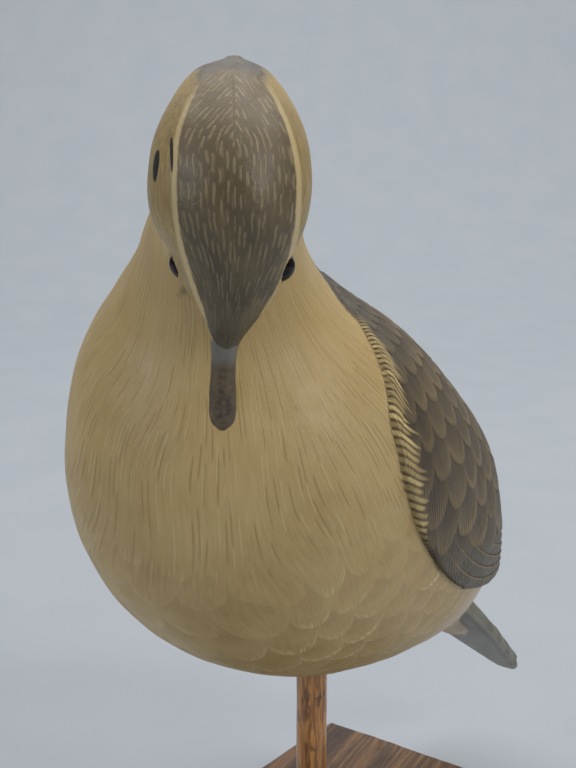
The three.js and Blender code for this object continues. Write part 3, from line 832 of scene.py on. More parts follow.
class Coordinates:
    """Where each point lies on the bird's feather tracts: everything that paint and relief need."""

    def __init__(self, p):
        self.p = p
        self.s, self.side, self.high = body_axes(p)
        self.angle = np.arctan2(np.abs(self.side), self.high)
        self.left, self.forward, self.up = head_axes(p)
        self.tail_d, self.tail_side, self.tail_high = tail_axes(p)
        bird = in_chunks(bird_field, p)
        self.raised = bird
        self.tailness = np.minimum(bird, 3.0) - in_chunks(tail_field, p)
        self.wing_edge = -wing_plan.read(wing_plan.out, self.s, self.angle)
        self.wing_run = wing_plan.read(wing_plan.run, self.s, self.angle)
        self.to_lower = wing_plan.read(wing_plan.to_lower, self.s, self.angle)
        arc = self.angle * FAN_RADIUS
        ahead = FAN_ALONG - self.s
        reach = np.hypot(ahead, arc) + 1.1 * slow_waves(p, 34, seed=5)
        self.fan_u = FEATHERS_PER_RADIAN * np.arctan2(arc, ahead) + 0.10 * slow_waves(p, 30, seed=6)
        self.fan_v = np.interp(reach, FAN_TABLE_REACH, FAN_TABLE_ROW)
        pole = unit(BREAST_POLE)
        zero = unit(np.cross(np.cross(pole, -UP), pole))
        across = np.cross(pole, zero)
        way = (p - BODY_CENTRE) / np.linalg.norm(p - BODY_CENTRE, axis=1)[:, None]
        self.breast_angle = np.arccos(np.clip(way @ pole, -1, 1))
        self.breast_turn = np.arctan2(way @ across, way @ zero)
        self.breast_u = (self.breast_turn / (2 * math.pi) * BREAST_CELLS
                         + 0.14 * slow_waves(p, 26, seed=8))
        self.breast_v = (self.breast_angle * BREAST_RADIUS + 1.3 * slow_waves(p, 30, seed=9)
                         ) / BREAST_ROW
        self.cap = cap_half(self.forward) - np.abs(self.left - cap_middle(self.forward))
        self.on_head = 1 - smooth_step(in_chunks(head_field, p), -0.5, 1.5)
        self.mantle = self.mantle_edge()

    def mantle_edge(self):
        """How far a point lies inside the brown of the back and hind neck."""
        back = (np.interp(self.s, *zip(*MANTLE_STATIONS)) - np.degrees(self.angle)) * 0.7
        up_neck = smooth_step(self.s, 54, 84)
        lateral = np.abs((1 - up_neck) * self.side + up_neck * self.left)
        neck = np.minimum(np.interp(self.s, *zip(*HIND_NECK_STATIONS)) - lateral, self.high - 14)
        return (1 - smooth_step(self.s, 50, 58)) * back + smooth_step(self.s, 50, 58) * neck


def groove(offset, width):
    return np.exp(-(offset / width) ** 2)


def relief(c):
    """Height of the fine carving above the plain form, in millimetres."""
    wing = smooth_step(c.wing_edge, 0.2, 1.6) * smooth_step(c.raised, 0.05, 0.2)
    wing *= smooth_step(-c.tailness, -0.5, 0.5)
    edge, across, _, _ = scallops(c.fan_u, c.fan_v)
    covert = COVERT_STEP * (1 - smooth_step(edge, 0.0, 0.9))
    shaft = 0.05 * groove(across, 0.05) * smooth_step(edge, 0.1, 0.3)
    flight_band = smooth_step(22 - 0.22 * (c.s + 60) - c.to_lower, 0, 2) * smooth_step(-c.s, -12, 14)
    flight = c.to_lower / FLIGHT_WIDTH
    blade = FLIGHT_STEP * (fraction_of(flight) - 0.5)
    height = wing * ((covert + shaft) * (1 - flight_band) + blade * flight_band)

    mantle = smooth_step(c.s, -70, -40) * smooth_step(52 - c.s, 0, 12) * smooth_step(
        math.radians(30) - c.angle, 0, 0.2) * (1 - wing)
    height += 0.5 * mantle * covert

    under = (1 - wing) * (1 - c.on_head) * smooth_step(-c.tailness, -0.5, 0.5)
    edge, _, _, _ = scallops(c.breast_u, c.breast_v)
    height += 0.05 * under * (1 - smooth_step(edge, 0.0, 0.8))
    height += under * 0.10 * slow_waves(c.p, 13, 14, seed=11)
    height += c.on_head * 0.05 * slow_waves(c.p, 9, 14, seed=12)

    on_bill = smooth_step(c.forward, 27, 31) * c.on_head
    for left, start, end in BILL_GROOVES:
        run = smooth_step(c.forward, start, start + 1) * smooth_step(end - c.forward, 0, 1)
        wander = 0.18 * np.sin(c.forward * 1.7 + left)
        on_top = smooth_step(c.up, -2.6, -1.6)
        height -= BILL_GROOVE_DEPTH * run * on_top * groove(c.left - left - wander, BILL_GROOVE_WIDTH)
    gape = smooth_step(c.forward, GAPE_FROM, GAPE_FROM + 3) * smooth_step(41 - c.forward, 0, 1)
    height -= GAPE_DEPTH * gape * on_bill * groove(c.up - GAPE_UP, 0.35) * smooth_step(
        np.abs(c.left), 0.8, 1.6)
    return height


def store(mesh, name, *columns):
    """Named values on the mesh's points, for the paint."""
    kind = "FLOAT" if len(columns) == 1 else "FLOAT_VECTOR"
    layer = mesh.attributes.new(name, kind, "POINT")
    if len(columns) == 1:
        layer.data.foreach_set("value", columns[0].astype(np.float32))
        return
    while len(columns) < 3:
        columns = (*columns, np.zeros(len(columns[0])))
    layer.data.foreach_set("vector", np.stack(columns, 1).astype(np.float32).ravel())


def make_dove():
    low_node, high_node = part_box("dove")
    low = np.array(low_node) / MM - 2.0
    high = np.array(high_node) / MM + 2.0
    grid = sampled_field(low, high)
    vertices, quads = surface_net(grid, low)
    vertices = settle(vertices)
    piece = new_mesh("carved_dove", vertices, quads)
    c = Coordinates(vertices)
    raised = vertices + normals_of(piece.data) * relief(c)[:, None]
    piece.data.vertices.foreach_set("co", (raised * MM).astype(np.float32).ravel())
    piece.data.update()
    thinned(piece, TRIANGLE_LIMIT)
    mesh = piece.data
    mesh.polygons.foreach_set("use_smooth", np.ones(len(mesh.polygons), bool))
    c = Coordinates(points_of(mesh))
    store(mesh, "fan", c.fan_u, c.fan_v, c.wing_edge)
    store(mesh, "wing", c.raised, c.wing_run, c.to_lower)
    store(mesh, "body", c.s, np.degrees(c.angle), c.side)
    store(mesh, "breast", c.breast_u, c.breast_v, np.degrees(c.breast_angle))
    store(mesh, "turn", np.degrees(c.breast_turn))
    store(mesh, "head", c.left - cap_middle(c.forward), c.forward, c.up)
    store(mesh, "cap", c.cap)
    store(mesh, "on_head", c.on_head)
    store(mesh, "tail", c.tail_side, c.tail_d, c.tail_high)
    store(mesh, "tailness", c.tailness)
    store(mesh, "mantle", c.mantle)
    return piece


class Paint:
    """A node material being put together: short names for the nodes that the finishes use."""

    def __init__(self, name, roughness=0.5, **shader_values):
        self.material = bpy.data.materials.new(name)
        self.material.use_nodes = True
        self.tree = self.material.node_tree
        self.tree.nodes.clear()
        self.shader = self.tree.nodes.new("ShaderNodeBsdfPrincipled")
        self.shader.inputs["Roughness"].default_value = roughness
        for key, value in shader_values.items():
            self.shader.inputs[key.replace("_", " ")].default_value = value
        output = self.tree.nodes.new("ShaderNodeOutputMaterial")
        self.tree.links.new(self.shader.outputs[0], output.inputs["Surface"])

    def number(self, name):
        node = self.tree.nodes.new("ShaderNodeAttribute")
        node.attribute_name = name
        return Wire(self.tree, node.outputs["Fac"])

    def numbers(self, name):
        node = self.tree.nodes.new("ShaderNodeAttribute")
        node.attribute_name = name
        return self.parts(Wire(self.tree, node.outputs["Vector"]))

    def parts(self, vector):
        node = self.tree.nodes.new("ShaderNodeSeparateXYZ")
        put(self.tree, vector, node.inputs[0])
        return [Wire(self.tree, socket) for socket in node.outputs]

    def vector(self, x, y, z=0.0):
        node = self.tree.nodes.new("ShaderNodeCombineXYZ")
        for value, socket in zip((x, y, z), node.inputs):
            put(self.tree, value, socket)
        return Wire(self.tree, node.outputs[0])

    def place(self):
        """Object coordinates in millimetres."""
        node = self.tree.nodes.new("ShaderNodeTexCoord")
        scale = self.tree.nodes.new("ShaderNodeVectorMath")
        scale.operation = "SCALE"
        scale.inputs["Scale"].default_value = 1 / MM
        self.tree.links.new(node.outputs["Object"], scale.inputs[0])
        return Wire(self.tree, scale.outputs[0])

    def noise(self, vector, scale=1.0, detail=2.0, roughness=0.5, distortion=0.0):
        node = self.tree.nodes.new("ShaderNodeTexNoise")
        put(self.tree, vector, node.inputs["Vector"])
        node.inputs["Scale"].default_value = scale
        node.inputs["Detail"].default_value = detail
        node.inputs["Roughness"].default_value = roughness
        node.inputs["Distortion"].default_value = distortion
        return Wire(self.tree, node.outputs["Fac"])

    def cells(self, vector, scale=1.0):
        """Distance to the nearest of scattered points."""
        node = self.tree.nodes.new("ShaderNodeTexVoronoi")
        put(self.tree, vector, node.inputs["Vector"])
        node.inputs["Scale"].default_value = scale
        return Wire(self.tree, node.outputs["Distance"])

    def chances(self, x, y, seed):
        """Three random numbers for each whole x and y."""
        node = self.tree.nodes.new("ShaderNodeTexWhiteNoise")
        put(self.tree, self.vector(x, y, float(seed)), node.inputs["Vector"])
        return self.parts(Wire(self.tree, node.outputs["Color"]))

    def strokes(self, across, along, pitch, length, width, seed, share=0.8):
        """Brush strokes in lanes, as a mask: across and along are millimetres on the surface."""
        lane = across / pitch
        number = floor_of(lane)
        shift, _, _ = self.chances(number, 0.5, seed)
        step = along / length + 7 * shift
        turn = floor_of(step)
        aside, reach, drawn = self.chances(number, turn, seed + 1)
        place = fraction_of(step)
        offset = size_of(fraction_of(lane) - 0.5 + (aside - 0.5) * 0.35)
        body = ramp(offset, width / pitch * 0.5, width / pitch * 0.22)
        ends = ramp(place, 0.03, 0.16) * ramp(place, 0.55 + 0.42 * reach, 0.4 + 0.36 * reach)
        return body * ends * ramp(drawn, 1 - share, 1.15 - share)

    def mix(self, factor, first, second):
        node = self.tree.nodes.new("ShaderNodeMix")
        node.data_type = "RGBA"
        put(self.tree, factor, node.inputs[0])
        put(self.tree, first, node.inputs[6])
        put(self.tree, second, node.inputs[7])
        return Wire(self.tree, node.outputs[2])

    def finish(self, colour, roughness, height, depth=1.0):
        """Joins up the shader. height is in millimetres of relief too fine to model."""
        bump = self.tree.nodes.new("ShaderNodeBump")
        bump.inputs["Distance"].default_value = MM * depth
        put(self.tree, height, bump.inputs["Height"])
        self.tree.links.new(bump.outputs["Normal"], self.shader.inputs["Normal"])
        put(self.tree, colour, self.shader.inputs["Base Color"])
        put(self.tree, roughness, self.shader.inputs["Roughness"])
        return self.material


def give(piece, material):
    piece.data.materials.clear()
    piece.data.materials.append(material)


def breast_paint(paint):
    """Ochre breast: lengthwise brushing, and pale feather tips made of short strokes."""
    u, v, angle = paint.numbers("breast")
    s, back_angle, _ = paint.numbers("body")
    place = paint.place()
    across = u * (BREAST_RADIUS * 2 * math.pi / BREAST_CELLS)
    along = v * BREAST_ROW
    brushed = paint.noise(paint.vector(across * 1.5, along * 0.22), 1.0, 3.0, 0.6)
    broad = paint.noise(place, 0.045, 2.0)
    fine = paint.noise(paint.vector(across * 3.2, along * 0.9), 1.0, 2.0)
    colour = paint.mix(ramp(brushed, 0.2, 0.75, 0.25, 0.9), GOLD_DARK, GOLD)
    colour = paint.mix(ramp(broad, 0.35, 0.7, 0.0, 0.35), colour, GOLD_LIGHT)
    colour = paint.mix(ramp(fine, 0.62, 0.8, 0.0, 0.22), colour, GOLD_LIGHT)
    edge, x, column, row = scallops(u, v)
    chance, _, _ = paint.chances(column, row, 41)
    tip = ramp(edge, -0.05, 0.06) * ramp(edge, 0.34, 0.10)
    barbs = paint.noise(paint.vector(x * 14 / (0.5 + edge), v * 1.3), 1.0, 1.0)
    patch = paint.noise(place, 0.034, 1.0)
    on_breast = ramp(angle, 48, 62) * ramp(angle, 150, 120)
    arcs = tip * ramp(barbs, 0.42, 0.6) * ramp(patch, 0.45, 0.6, 0.12, 1.0) * on_breast
    arcs = arcs * (0.35 + 0.65 * chance)
    colour = paint.mix(arcs * 0.85, colour, GOLD_TIP)
    shade = ramp(edge, 0.5, 0.95) * on_breast
    colour = paint.mix(shade * 0.16, colour, GOLD_DEEP)
    neck = ramp(angle, 62, 44)
    lines = paint.strokes(across, along, 1.25, 9.0, 0.55, 51, 0.55)
    colour = paint.mix(lines * neck * 0.45, colour, GOLD_DEEP)
    lights = paint.strokes(across + 0.6, along + 3.0, 1.4, 8.0, 0.5, 53, 0.5)
    colour = paint.mix(lights * neck * 0.5, colour, GOLD_LIGHT)
    vent = ramp(s, -22, -52) * ramp(back_angle, 84, 104)
    colour = paint.mix(vent * 0.85, colour, VENT)
    grain = paint.noise(paint.vector(across * 1.3, along * 0.8), 1.0, 4.0, 0.65)
    height = 0.05 * grain + 0.025 * brushed + 0.06 * arcs + 0.04 * lights * neck
    return colour, height


def covert_paint(paint):
    """Taupe wing and back feathers with soft pale edges, combed barbs, and painted shade in the
    creases under overlapping feathers.
    """
    u, v, inside = paint.numbers("fan")
    raised, run, to_lower = paint.numbers("wing")
    s, angle, side = paint.numbers("body")
    place = paint.place()
    edge, x, column, row = scallops(u, v)
    chance, second, _ = paint.chances(column, row, 61)
    soft = paint.noise(place, 0.09, 3.0)
    colour = paint.mix(ramp(soft, 0.3, 0.7), TAUPE_DARK, TAUPE)
    # painted shade: each feather darkens towards its covered base, in the crease under the next
    # feather's edge
    colour = paint.mix(ramp(edge, 0.25, 1.1, 0.0, 0.55), colour, TAUPE_PAINTED_SHADE)
    barb = sine(x * 52 / (0.55 + 0.45 * edge) + 2.0 * soft)
    combed = ramp(barb, -0.4, 0.9)
    rim = ramp(edge, -0.02, 0.07) * ramp(edge, 0.42, 0.12)
    colour = paint.mix(rim * (0.25 + 0.5 * chance) * (0.55 + 0.45 * combed), colour, TAUPE_EDGE)
    front = ramp(to_lower, 19, 7) * ramp(s, -30, -8)
    colour = paint.mix(front * ramp(barb, 0.2, -0.7) * 0.5, colour, TAUPE_BLACK)
    colour = paint.mix(front * combed * ramp(edge, 0.9, 0.1) * 0.42, colour, TAUPE_EDGE)
    flight = to_lower / FLIGHT_WIDTH
    across = fraction_of(flight)
    band = ramp(22 - 0.22 * (s + 60) - to_lower, 0, 2) * ramp(s, 12, -14)
    blade = paint.mix(ramp(across, 0.86, 0.97), FLIGHT, TAUPE_EDGE)
    # painted shade: a dark band at the foot of each flight-feather step, against the raised edge of
    # the neighbouring feather
    blade = paint.mix(ramp(across, 0.12, 0.0), blade, TAUPE_BLACK)
    colour = paint.mix(band, colour, blade)
    grey = ramp(s, 26, 46) * ramp(angle, 70, 50)
    colour = paint.mix(grey * 0.6, colour, MANTLE_GREY)
    height = front * 0.10 * combed + 0.035 * combed + 0.03 * soft + 0.05 * rim
    return colour, height, (s, angle, run, inside, raised)


def tail_paint(paint):
    """Tail feathers: taupe streaked with grey, paler grey beneath, with darker shafts and edges."""
    side, d, high = paint.numbers("tail")
    streak = paint.noise(paint.vector(side * 1.3, d * 0.10, high * 0.3), 1.0, 3.0)
    colour = paint.mix(ramp(streak, 0.3, 0.7), TAIL_GREY, TAIL)
    colour = paint.mix(ramp(streak, 0.6, 0.75, 0.0, 0.5), colour, TAIL_LIGHT)
    out = size_of(side)
    for line in [layer[0] for layer in TAIL_LAYERS] + [11.8]:
        colour = paint.mix(ramp(size_of(out - line + 0.3), 0.8, 0.1) * 0.4, colour, TAIL_DARK)
    colour = paint.mix(ramp(out, 0.35, 0.1) * 0.5, colour, TAIL_DARK)
    colour = paint.mix(ramp(high, -0.3, -1.2) * 0.7, colour, TAIL_UNDER)
    barbs = sine((out * 2.2 - d * 1.1) * 2.4)
    return colour, 0.05 * streak + 0.02 * barbs


def crown_paint(paint, left, forward):
    """Dark cap with pale strokes: a herringbone at the nape that turns straight over the brow."""
    place = paint.place()
    on_right = ramp(left, 0.1, -0.1)
    narrow = ramp(forward, 0, 27, 1.0, 0.30)
    slant = ramp(forward, -6, -30, 0.0, 15.0) * ramp(left, 0.5, -0.5, 0.62, 1.0)
    across = size_of(left) / narrow + slant + 37.0 * on_right
    along = forward + 0.3 * size_of(left)
    dark = paint.noise(paint.vector(across * 0.8, along * 0.12), 1.0, 3.0)
    colour = paint.mix(ramp(forward, -24, 14), CROWN_BROWN, CROWN_BLACK)
    colour = paint.mix(ramp(dark, 0.5, 0.75, 0.0, 0.4), colour, CROWN_SOFT)
    wobble = paint.noise(place, 0.35, 2.0) - 0.5
    lines = paint.strokes(across + 0.9 * wobble, along, 1.15, 5.0, 0.62, 71, 0.92)
    faint = paint.strokes(across + 0.5 + 0.9 * wobble, along + 2.2, 1.3, 3.6, 0.4, 75, 0.7)
    strength = ramp(forward, -26, 12, 0.85, 0.42) * ramp(forward, 18, 25, 1.0, 0.3)
    uneven = paint.noise(place, 0.5, 2.0)
    drawn = most(lines, faint * 0.55) * ramp(uneven, 0.25, 0.6, 0.45, 1.0)
    colour = paint.mix(drawn * strength, colour, CROWN_STROKE)
    return colour, 0.05 * lines + 0.06 * paint.noise(place, 1.6, 3.0)


def cheek_paint(paint, left, forward, up):
    """Ochre face with lengthwise brushing."""
    brushed = paint.noise(paint.vector(left * 1.4, forward * 0.14, up * 1.4), 1.0, 3.0, 0.6)
    colour = paint.mix(ramp(brushed, 0.32, 0.68), CHEEK_DARK, CHEEK)
    colour = paint.mix(ramp(brushed, 0.6, 0.78, 0.0, 0.5), colour, CHEEK_LIGHT)
    return colour, 0.06 * brushed


def mark(paint, left, forward, up, at, size, bend=0.0):
    """Soft-edged mark on the head, long in the forward direction."""
    x = (left - at[0] - bend * (forward - at[1]) * (forward - at[1])) / size[0]
    y = (forward - at[1]) / size[1]
    z = (up - at[2]) / size[2]
    return ramp(x * x + y * y + z * z, 1.1, 0.8)


def make_dove_paint():
    paint = Paint("painted_dove", 0.45, Specular_IOR_Level=0.5)
    colour, height = breast_paint(paint)
    wing_colour, wing_height, (s, angle, run, inside, raised) = covert_paint(paint)
    tailness = paint.number("tailness")
    mantle = paint.number("mantle")
    ragged = paint.noise(paint.place(), 0.5, 3.0)
    brown = ramp(mantle + (ragged - 0.5) * 3.5, -1.2, 1.6)
    on_wing = ramp(raised, 0.08, 0.22) * ramp(inside, -1.2, -0.6)

    lanes = 6.2 * root_of(run - inside * 1.15 - 3.0)
    _, reach, pale = paint.chances(floor_of(lanes), 3.5, 81)
    in_lane = fraction_of(lanes)
    swell = ramp(run, 12, 26) * ramp(run, 66, 50)
    fringe_depth = 0.5 + swell * (2.4 + 4.2 * reach) * ramp(in_lane, 1.0, 0.2, 0.5, 1.0)
    fringe = ramp(inside - fringe_depth, 0.7, -0.7) * ramp(run, 7, 13) * ramp(run, 70, 58)
    strand = ramp(in_lane, 0.0, 0.3) * ramp(in_lane, 1.0, 0.62) * (0.6 + 0.4 * pale)
    fringe_colour = paint.mix(strand, FRINGE_DARK, FRINGE)
    fringe_mask = fringe * ramp(inside, 6.5, 1.5, 0.35, 1.0) * (0.25 + 0.75 * strand)
    wing_colour = paint.mix(fringe_mask, wing_colour, fringe_colour)
    wing_height = wing_height + 0.16 * strand * fringe

    cover = most(on_wing, brown)
    colour = paint.mix(cover, colour, wing_colour)
    height = height * (1 - cover) + wing_height * cover
    tail_colour, tail_height = tail_paint(paint)
    on_tail = ramp(tailness, -0.4, 0.4)
    colour = paint.mix(on_tail, colour, tail_colour)
    height = height * (1 - on_tail) + tail_height * on_tail

    left, forward, up = paint.numbers("head")
    cap = paint.number("cap")
    on_head = paint.number("on_head")
    cheek, cheek_height = cheek_paint(paint, left, forward, up)
    crown, crown_height = crown_paint(paint, left, forward)
    colour = paint.mix(on_head, colour, cheek)
    brow = ramp(cap, -1.25, -0.75) * ramp(forward, -24, -16) * ramp(forward, 26, 20)
    colour = paint.mix(brow * on_head * 0.8, colour, BROW)
    in_cap = ramp(cap + (ragged - 0.5) * 0.5, -0.25, 0.15) * on_head * ramp(up, -9, -5)
    colour = paint.mix(in_cap, colour, crown)
    for at, size, bend in EAR_MARKS:
        colour = paint.mix(mark(paint, left, forward, up, at, size, bend), colour, MARK_BLACK)
    bill = ramp(forward, 24.6, 25.6) * on_head * (1 - in_cap)
    waxy = paint.noise(paint.place(), 1.3, 3.0)
    horn = paint.mix(ramp(waxy, 0.35, 0.65), BILL, BILL_LIGHT)
    colour = paint.mix(bill, colour, paint.mix(ramp(forward, 28.0, 30.5), CERE, horn))
    height = height * (1 - on_head) + on_head * (
        cheek_height * (1 - in_cap) + crown_height * in_cap)
    gloss = paint.noise(paint.place(), 0.22, 3.0)
    roughness = ramp(gloss, 0.3, 0.7, 0.40, 0.52) + 0.08 * on_wing * (1 - on_head)
    stipple = paint.noise(paint.place(), 1.15, 2.0, 0.6)
    return paint.finish(colour, roughness, height + 0.07 * stipple, 1.0)


def make_eye(name, node, sign):
    """Glass eye: a ball with a slight bulge of clear glass over a dark iris."""
    rows, columns = 48, 96
    turn = np.linspace(0, math.pi, rows + 1)[1:-1]
    round_ = np.linspace(0, 2 * math.pi, columns, endpoint=False)
    outward = unit(HEAD_L * sign + HEAD_U * 0.12)
    first = unit(np.cross(outward, HEAD_F))
    second = np.cross(outward, first)
    radius = EYE_RADIUS + 0.12 * np.exp(-(turn / 0.5) ** 2)
    ring = np.cos(round_)[:, None] * first + np.sin(round_)[:, None] * second
    body = (np.cos(turn)[:, None, None] * outward + np.sin(turn)[:, None, None] * ring
            ) * radius[:, None, None]
    count = len(turn)
    vertices = np.vstack([body.reshape(-1, 3), outward * (EYE_RADIUS + 0.12), -outward * EYE_RADIUS])
    j = np.arange(columns)
    k = (j + 1) % columns
    quads = [np.stack([i * columns + j, (i + 1) * columns + j, (i + 1) * columns + k,
                       i * columns + k], 1) for i in range(count - 1)]
    faces = [tuple(f) for f in np.vstack(quads)]
    faces += [(count * columns, a, b) for a, b in zip(j, k)]
    last = (count - 1) * columns
    faces += [(count * columns + 1, last + b, last + a) for a, b in zip(j, k)]
    mesh = bpy.data.meshes.new(name)
    mesh.from_pydata(((vertices + EYES[sign]) * MM).tolist(), [], [tuple(map(int, f)) for f in faces])
    mesh.polygons.foreach_set("use_smooth", np.ones(len(mesh.polygons), bool))
    store(mesh, "from_axis", np.degrees(np.arccos(np.clip(
        vertices @ outward / np.linalg.norm(vertices, axis=1), -1, 1))))
    piece = bpy.data.objects.new(name, mesh)
    bpy.context.scene.collection.objects.link(piece)
    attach(piece, "root")
    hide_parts(node)
    return piece


def make_eye_paint():
    paint = Paint("dark_glass_eye", 0.12, Specular_IOR_Level=0.25)
    turn = paint.number("from_axis")
    speck = paint.noise(paint.place(), 3.0, 3.0)
    iris = ramp(turn, 24, 27) * ramp(turn, 46, 42)
    colour = paint.mix(iris * ramp(speck, 0.3, 0.7, 0.35, 1.0), EYE_BLACK, EYE_BROWN)
    return paint.finish(colour, ramp(speck, 0.3, 0.7, 0.10, 0.16), 0.01 * speck)


def make_post():
    """Turned post, very slightly uneven along its length."""
    columns = 72
    ease = 0.5
    z = np.concatenate([
        [POST_FOOT_Z], POST_FOOT_Z + ease * (1 - np.cos(np.linspace(0.3, math.pi / 2, 5))),
        np.linspace(POST_FOOT_Z + ease, POST_TOP_Z - ease, 140)[1:-1],
        POST_TOP_Z - ease * (1 - np.cos(np.linspace(math.pi / 2, 0.3, 5))), [POST_TOP_Z],
    ])
    end = np.minimum(z - POST_FOOT_Z, POST_TOP_Z - z)
    profile = POST_RADIUS - ease * (1 - root_of(1 - (1 - np.minimum(end / ease, 1)) ** 2))
    profile[[0, -1]] = POST_RADIUS - ease
    turn = np.linspace(0, 2 * math.pi, columns, endpoint=False)
    grid_z, grid_t = np.meshgrid(z, turn, indexing="ij")
    points = np.stack([np.cos(grid_t), np.sin(grid_t), grid_z / POST_RADIUS], -1)
    wave = slow_waves((points * POST_RADIUS).reshape(-1, 3), 11, 14, seed=21).reshape(grid_z.shape)
    radius = profile[:, None] - 0.045 + 0.04 * wave
    vertices = np.stack([radius * np.cos(grid_t), radius * np.sin(grid_t), grid_z], -1).reshape(-1, 3)
    rows = len(z)
    mesh_vertices = np.vstack([vertices, [[0, 0, z[0]], [0, 0, z[-1]]]])
    j = np.arange(columns)
    k = (j + 1) % columns
    faces = [(int(i * columns + a), int(i * columns + b), int((i + 1) * columns + b),
              int((i + 1) * columns + a)) for i in range(rows - 1) for a, b in zip(j, k)]
    bottom, top = rows * columns, rows * columns + 1
    last = (rows - 1) * columns
    faces += [(bottom, int(b), int(a)) for a, b in zip(j, k)]
    faces += [(top, int(last + a), int(last + b)) for a, b in zip(j, k)]
    mesh = bpy.data.meshes.new("turned_post")
    mesh.from_pydata((mesh_vertices * MM).tolist(), [], faces)
    mesh.polygons.foreach_set("use_smooth", np.ones(len(mesh.polygons), bool))
    piece = bpy.data.objects.new("turned_post", mesh)
    bpy.context.scene.collection.objects.link(piece)
    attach(piece, "root")
    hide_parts("post")
    return piece


def make_post_paint():
    paint = Paint("varnished_post", 0.3, Coat_Weight=0.35, Coat_Roughness=0.12)
    x, y, z = paint.parts(paint.place())
    grain = paint.noise(paint.vector(x * 0.9, y * 0.9, z * 0.10), 1.0, 4.0, 0.6, 0.6)
    mottle = paint.noise(paint.vector(x * 0.45, y * 0.45, z * 0.16), 1.0, 3.0, 0.6, 0.8)
    pore = paint.noise(paint.vector(x * 3.4, y * 3.4, z * 0.35), 1.0, 2.0)
    colour = paint.mix(ramp(grain, 0.34, 0.62), POST_BROWN, POST_GOLD)
    colour = paint.mix(ramp(mottle, 0.52, 0.66, 0.0, 0.7), colour, POST_DARK)
    colour = paint.mix(ramp(pore, 0.6, 0.75, 0.0, 0.35), colour, POST_DARK)
    return paint.finish(colour, ramp(grain, 0.3, 0.7, 0.34, 0.24), 0.05 * grain + 0.04 * pore)


def make_base():
    """Rectangular block with eased edges, worn corners and a socket for the post."""
    half = np.array(BASE_SIZE) / 2
    steps = [np.unique(np.concatenate([
        h - BASE_EASE * np.array([0, 0.25, 0.55, 1.0, 2.2]),
        -h + BASE_EASE * np.array([0, 0.25, 0.55, 1.0, 2.2]),
        np.linspace(-h, h, max(9, int(2 * h / 1.6)))[2:-2],
    ])) for h in half]
    parts, faces, total = [], [], 0
    for axis in range(3):
        u, v = (axis + 1) % 3, (axis + 2) % 3
        for sign in (-1, 1):
            a, b = np.meshgrid(steps[u], steps[v], indexing="ij")
            p = np.empty((*a.shape, 3))
            p[..., u], p[..., v], p[..., axis] = a, b, sign * half[axis]
            n, m = a.shape
            i, j = np.meshgrid(np.arange(n - 1), np.arange(m - 1), indexing="ij")
            q = np.stack([i * m + j, (i + 1) * m + j, (i + 1) * m + j + 1, i * m + j + 1], -1)
            q = q.reshape(-1, 4)
            faces.append((q if sign > 0 else q[:, ::-1]) + total)
            parts.append(p.reshape(-1, 3))
            total += n * m
    cube = np.vstack(parts)
    wear = BASE_EASE * (1 + 0.22 * slow_waves(cube, 24, 12, seed=31))[:, None]
    core = np.clip(cube, -(half - wear), half - wear)
    away = cube - core
    length = np.linalg.norm(away, axis=1)[:, None]
    vertices = core + away / np.maximum(length, 1e-9) * np.minimum(length, wear)
    flat = slow_waves(cube * np.array([1.0, 0.25, 1.0]), 8, 14, seed=32)[:, None]
    vertices -= 0.035 * (1 + flat) * away / np.maximum(length, 1e-9) * (cube[:, 2:] > -half[2] + 1)
    vertices[:, 2] += half[2]
    piece = new_mesh("walnut_base", vertices, np.vstack(faces))
    weld = piece.modifiers.new("weld", "WELD")
    weld.merge_threshold = 0.02 * MM
    baked(piece)
    cutter = new_mesh("socket_cutter", *socket_tool())
    cut = piece.modifiers.new("socket", "BOOLEAN")
    cut.operation = "DIFFERENCE"
    cut.solver = "EXACT"
    cut.object = cutter
    baked(piece)
    bpy.data.objects.remove(cutter)
    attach(piece, "root")
    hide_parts("base")
    return piece


def socket_tool():
    """Prism that cuts the round socket."""
    count = 64
    radius = POST_RADIUS + 0.12
    turn = np.linspace(0, 2 * math.pi, count, endpoint=False)
    ring = np.stack([radius * np.cos(turn), radius * np.sin(turn)], 1)
    low = np.column_stack([ring, np.full(count, POST_FOOT_Z - 0.2)])
    high = np.column_stack([ring, np.full(count, BASE_SIZE[2] + 5)])
    ends = np.array([[0, 0, POST_FOOT_Z - 0.2], [0, 0, BASE_SIZE[2] + 5]])
    vertices = np.vstack([low, high, ends])
    j = np.arange(count)
    k = (j + 1) % count
    faces = np.vstack([
        np.stack([j, k, k + count], 1), np.stack([j, k + count, j + count], 1),
        np.stack([np.full(count, 2 * count), k, j], 1),
        np.stack([np.full(count, 2 * count + 1), j + count, k + count], 1),
    ])
    return vertices, faces


def make_base_paint():
    paint = Paint("oiled_walnut", 0.45, Coat_Weight=0.1, Coat_Roughness=0.25)
    x, y, z = paint.parts(paint.place())
    lean = x + y * 0.16
    bend = paint.noise(paint.vector(lean * 0.03, y * 0.012, z * 0.03), 1.0, 2.0)
    ring = lean + 14 * (bend - 0.5)
    broad = paint.noise(paint.vector(ring * 0.11, y * 0.004, z * 0.11), 1.0, 2.0, 0.5)
    figure = paint.noise(paint.vector(ring * 0.55, y * 0.02, z * 0.5), 1.0, 4.0, 0.6)
    pore = paint.noise(paint.vector(ring * 4.5, y * 0.18, z * 4.5), 1.0, 2.0)
    colour = paint.mix(ramp(broad, 0.35, 0.65), WALNUT_DARK, WALNUT)
    colour = paint.mix(ramp(figure, 0.45, 0.7, 0.0, 0.7), colour, WALNUT_LIGHT)
    streak = ramp(size_of(lean - DARK_STREAK_AT), 5.0, 1.5)
    colour = paint.mix(streak * 0.85, colour, WALNUT_DARK)
    colour = paint.mix(ramp(pore, 0.56, 0.72, 0.0, 0.6), colour, WALNUT_DARK)
    height = 0.08 * figure - 0.09 * ramp(pore, 0.56, 0.72)
    return paint.finish(colour, ramp(figure, 0.3, 0.7, 0.52, 0.38), height)


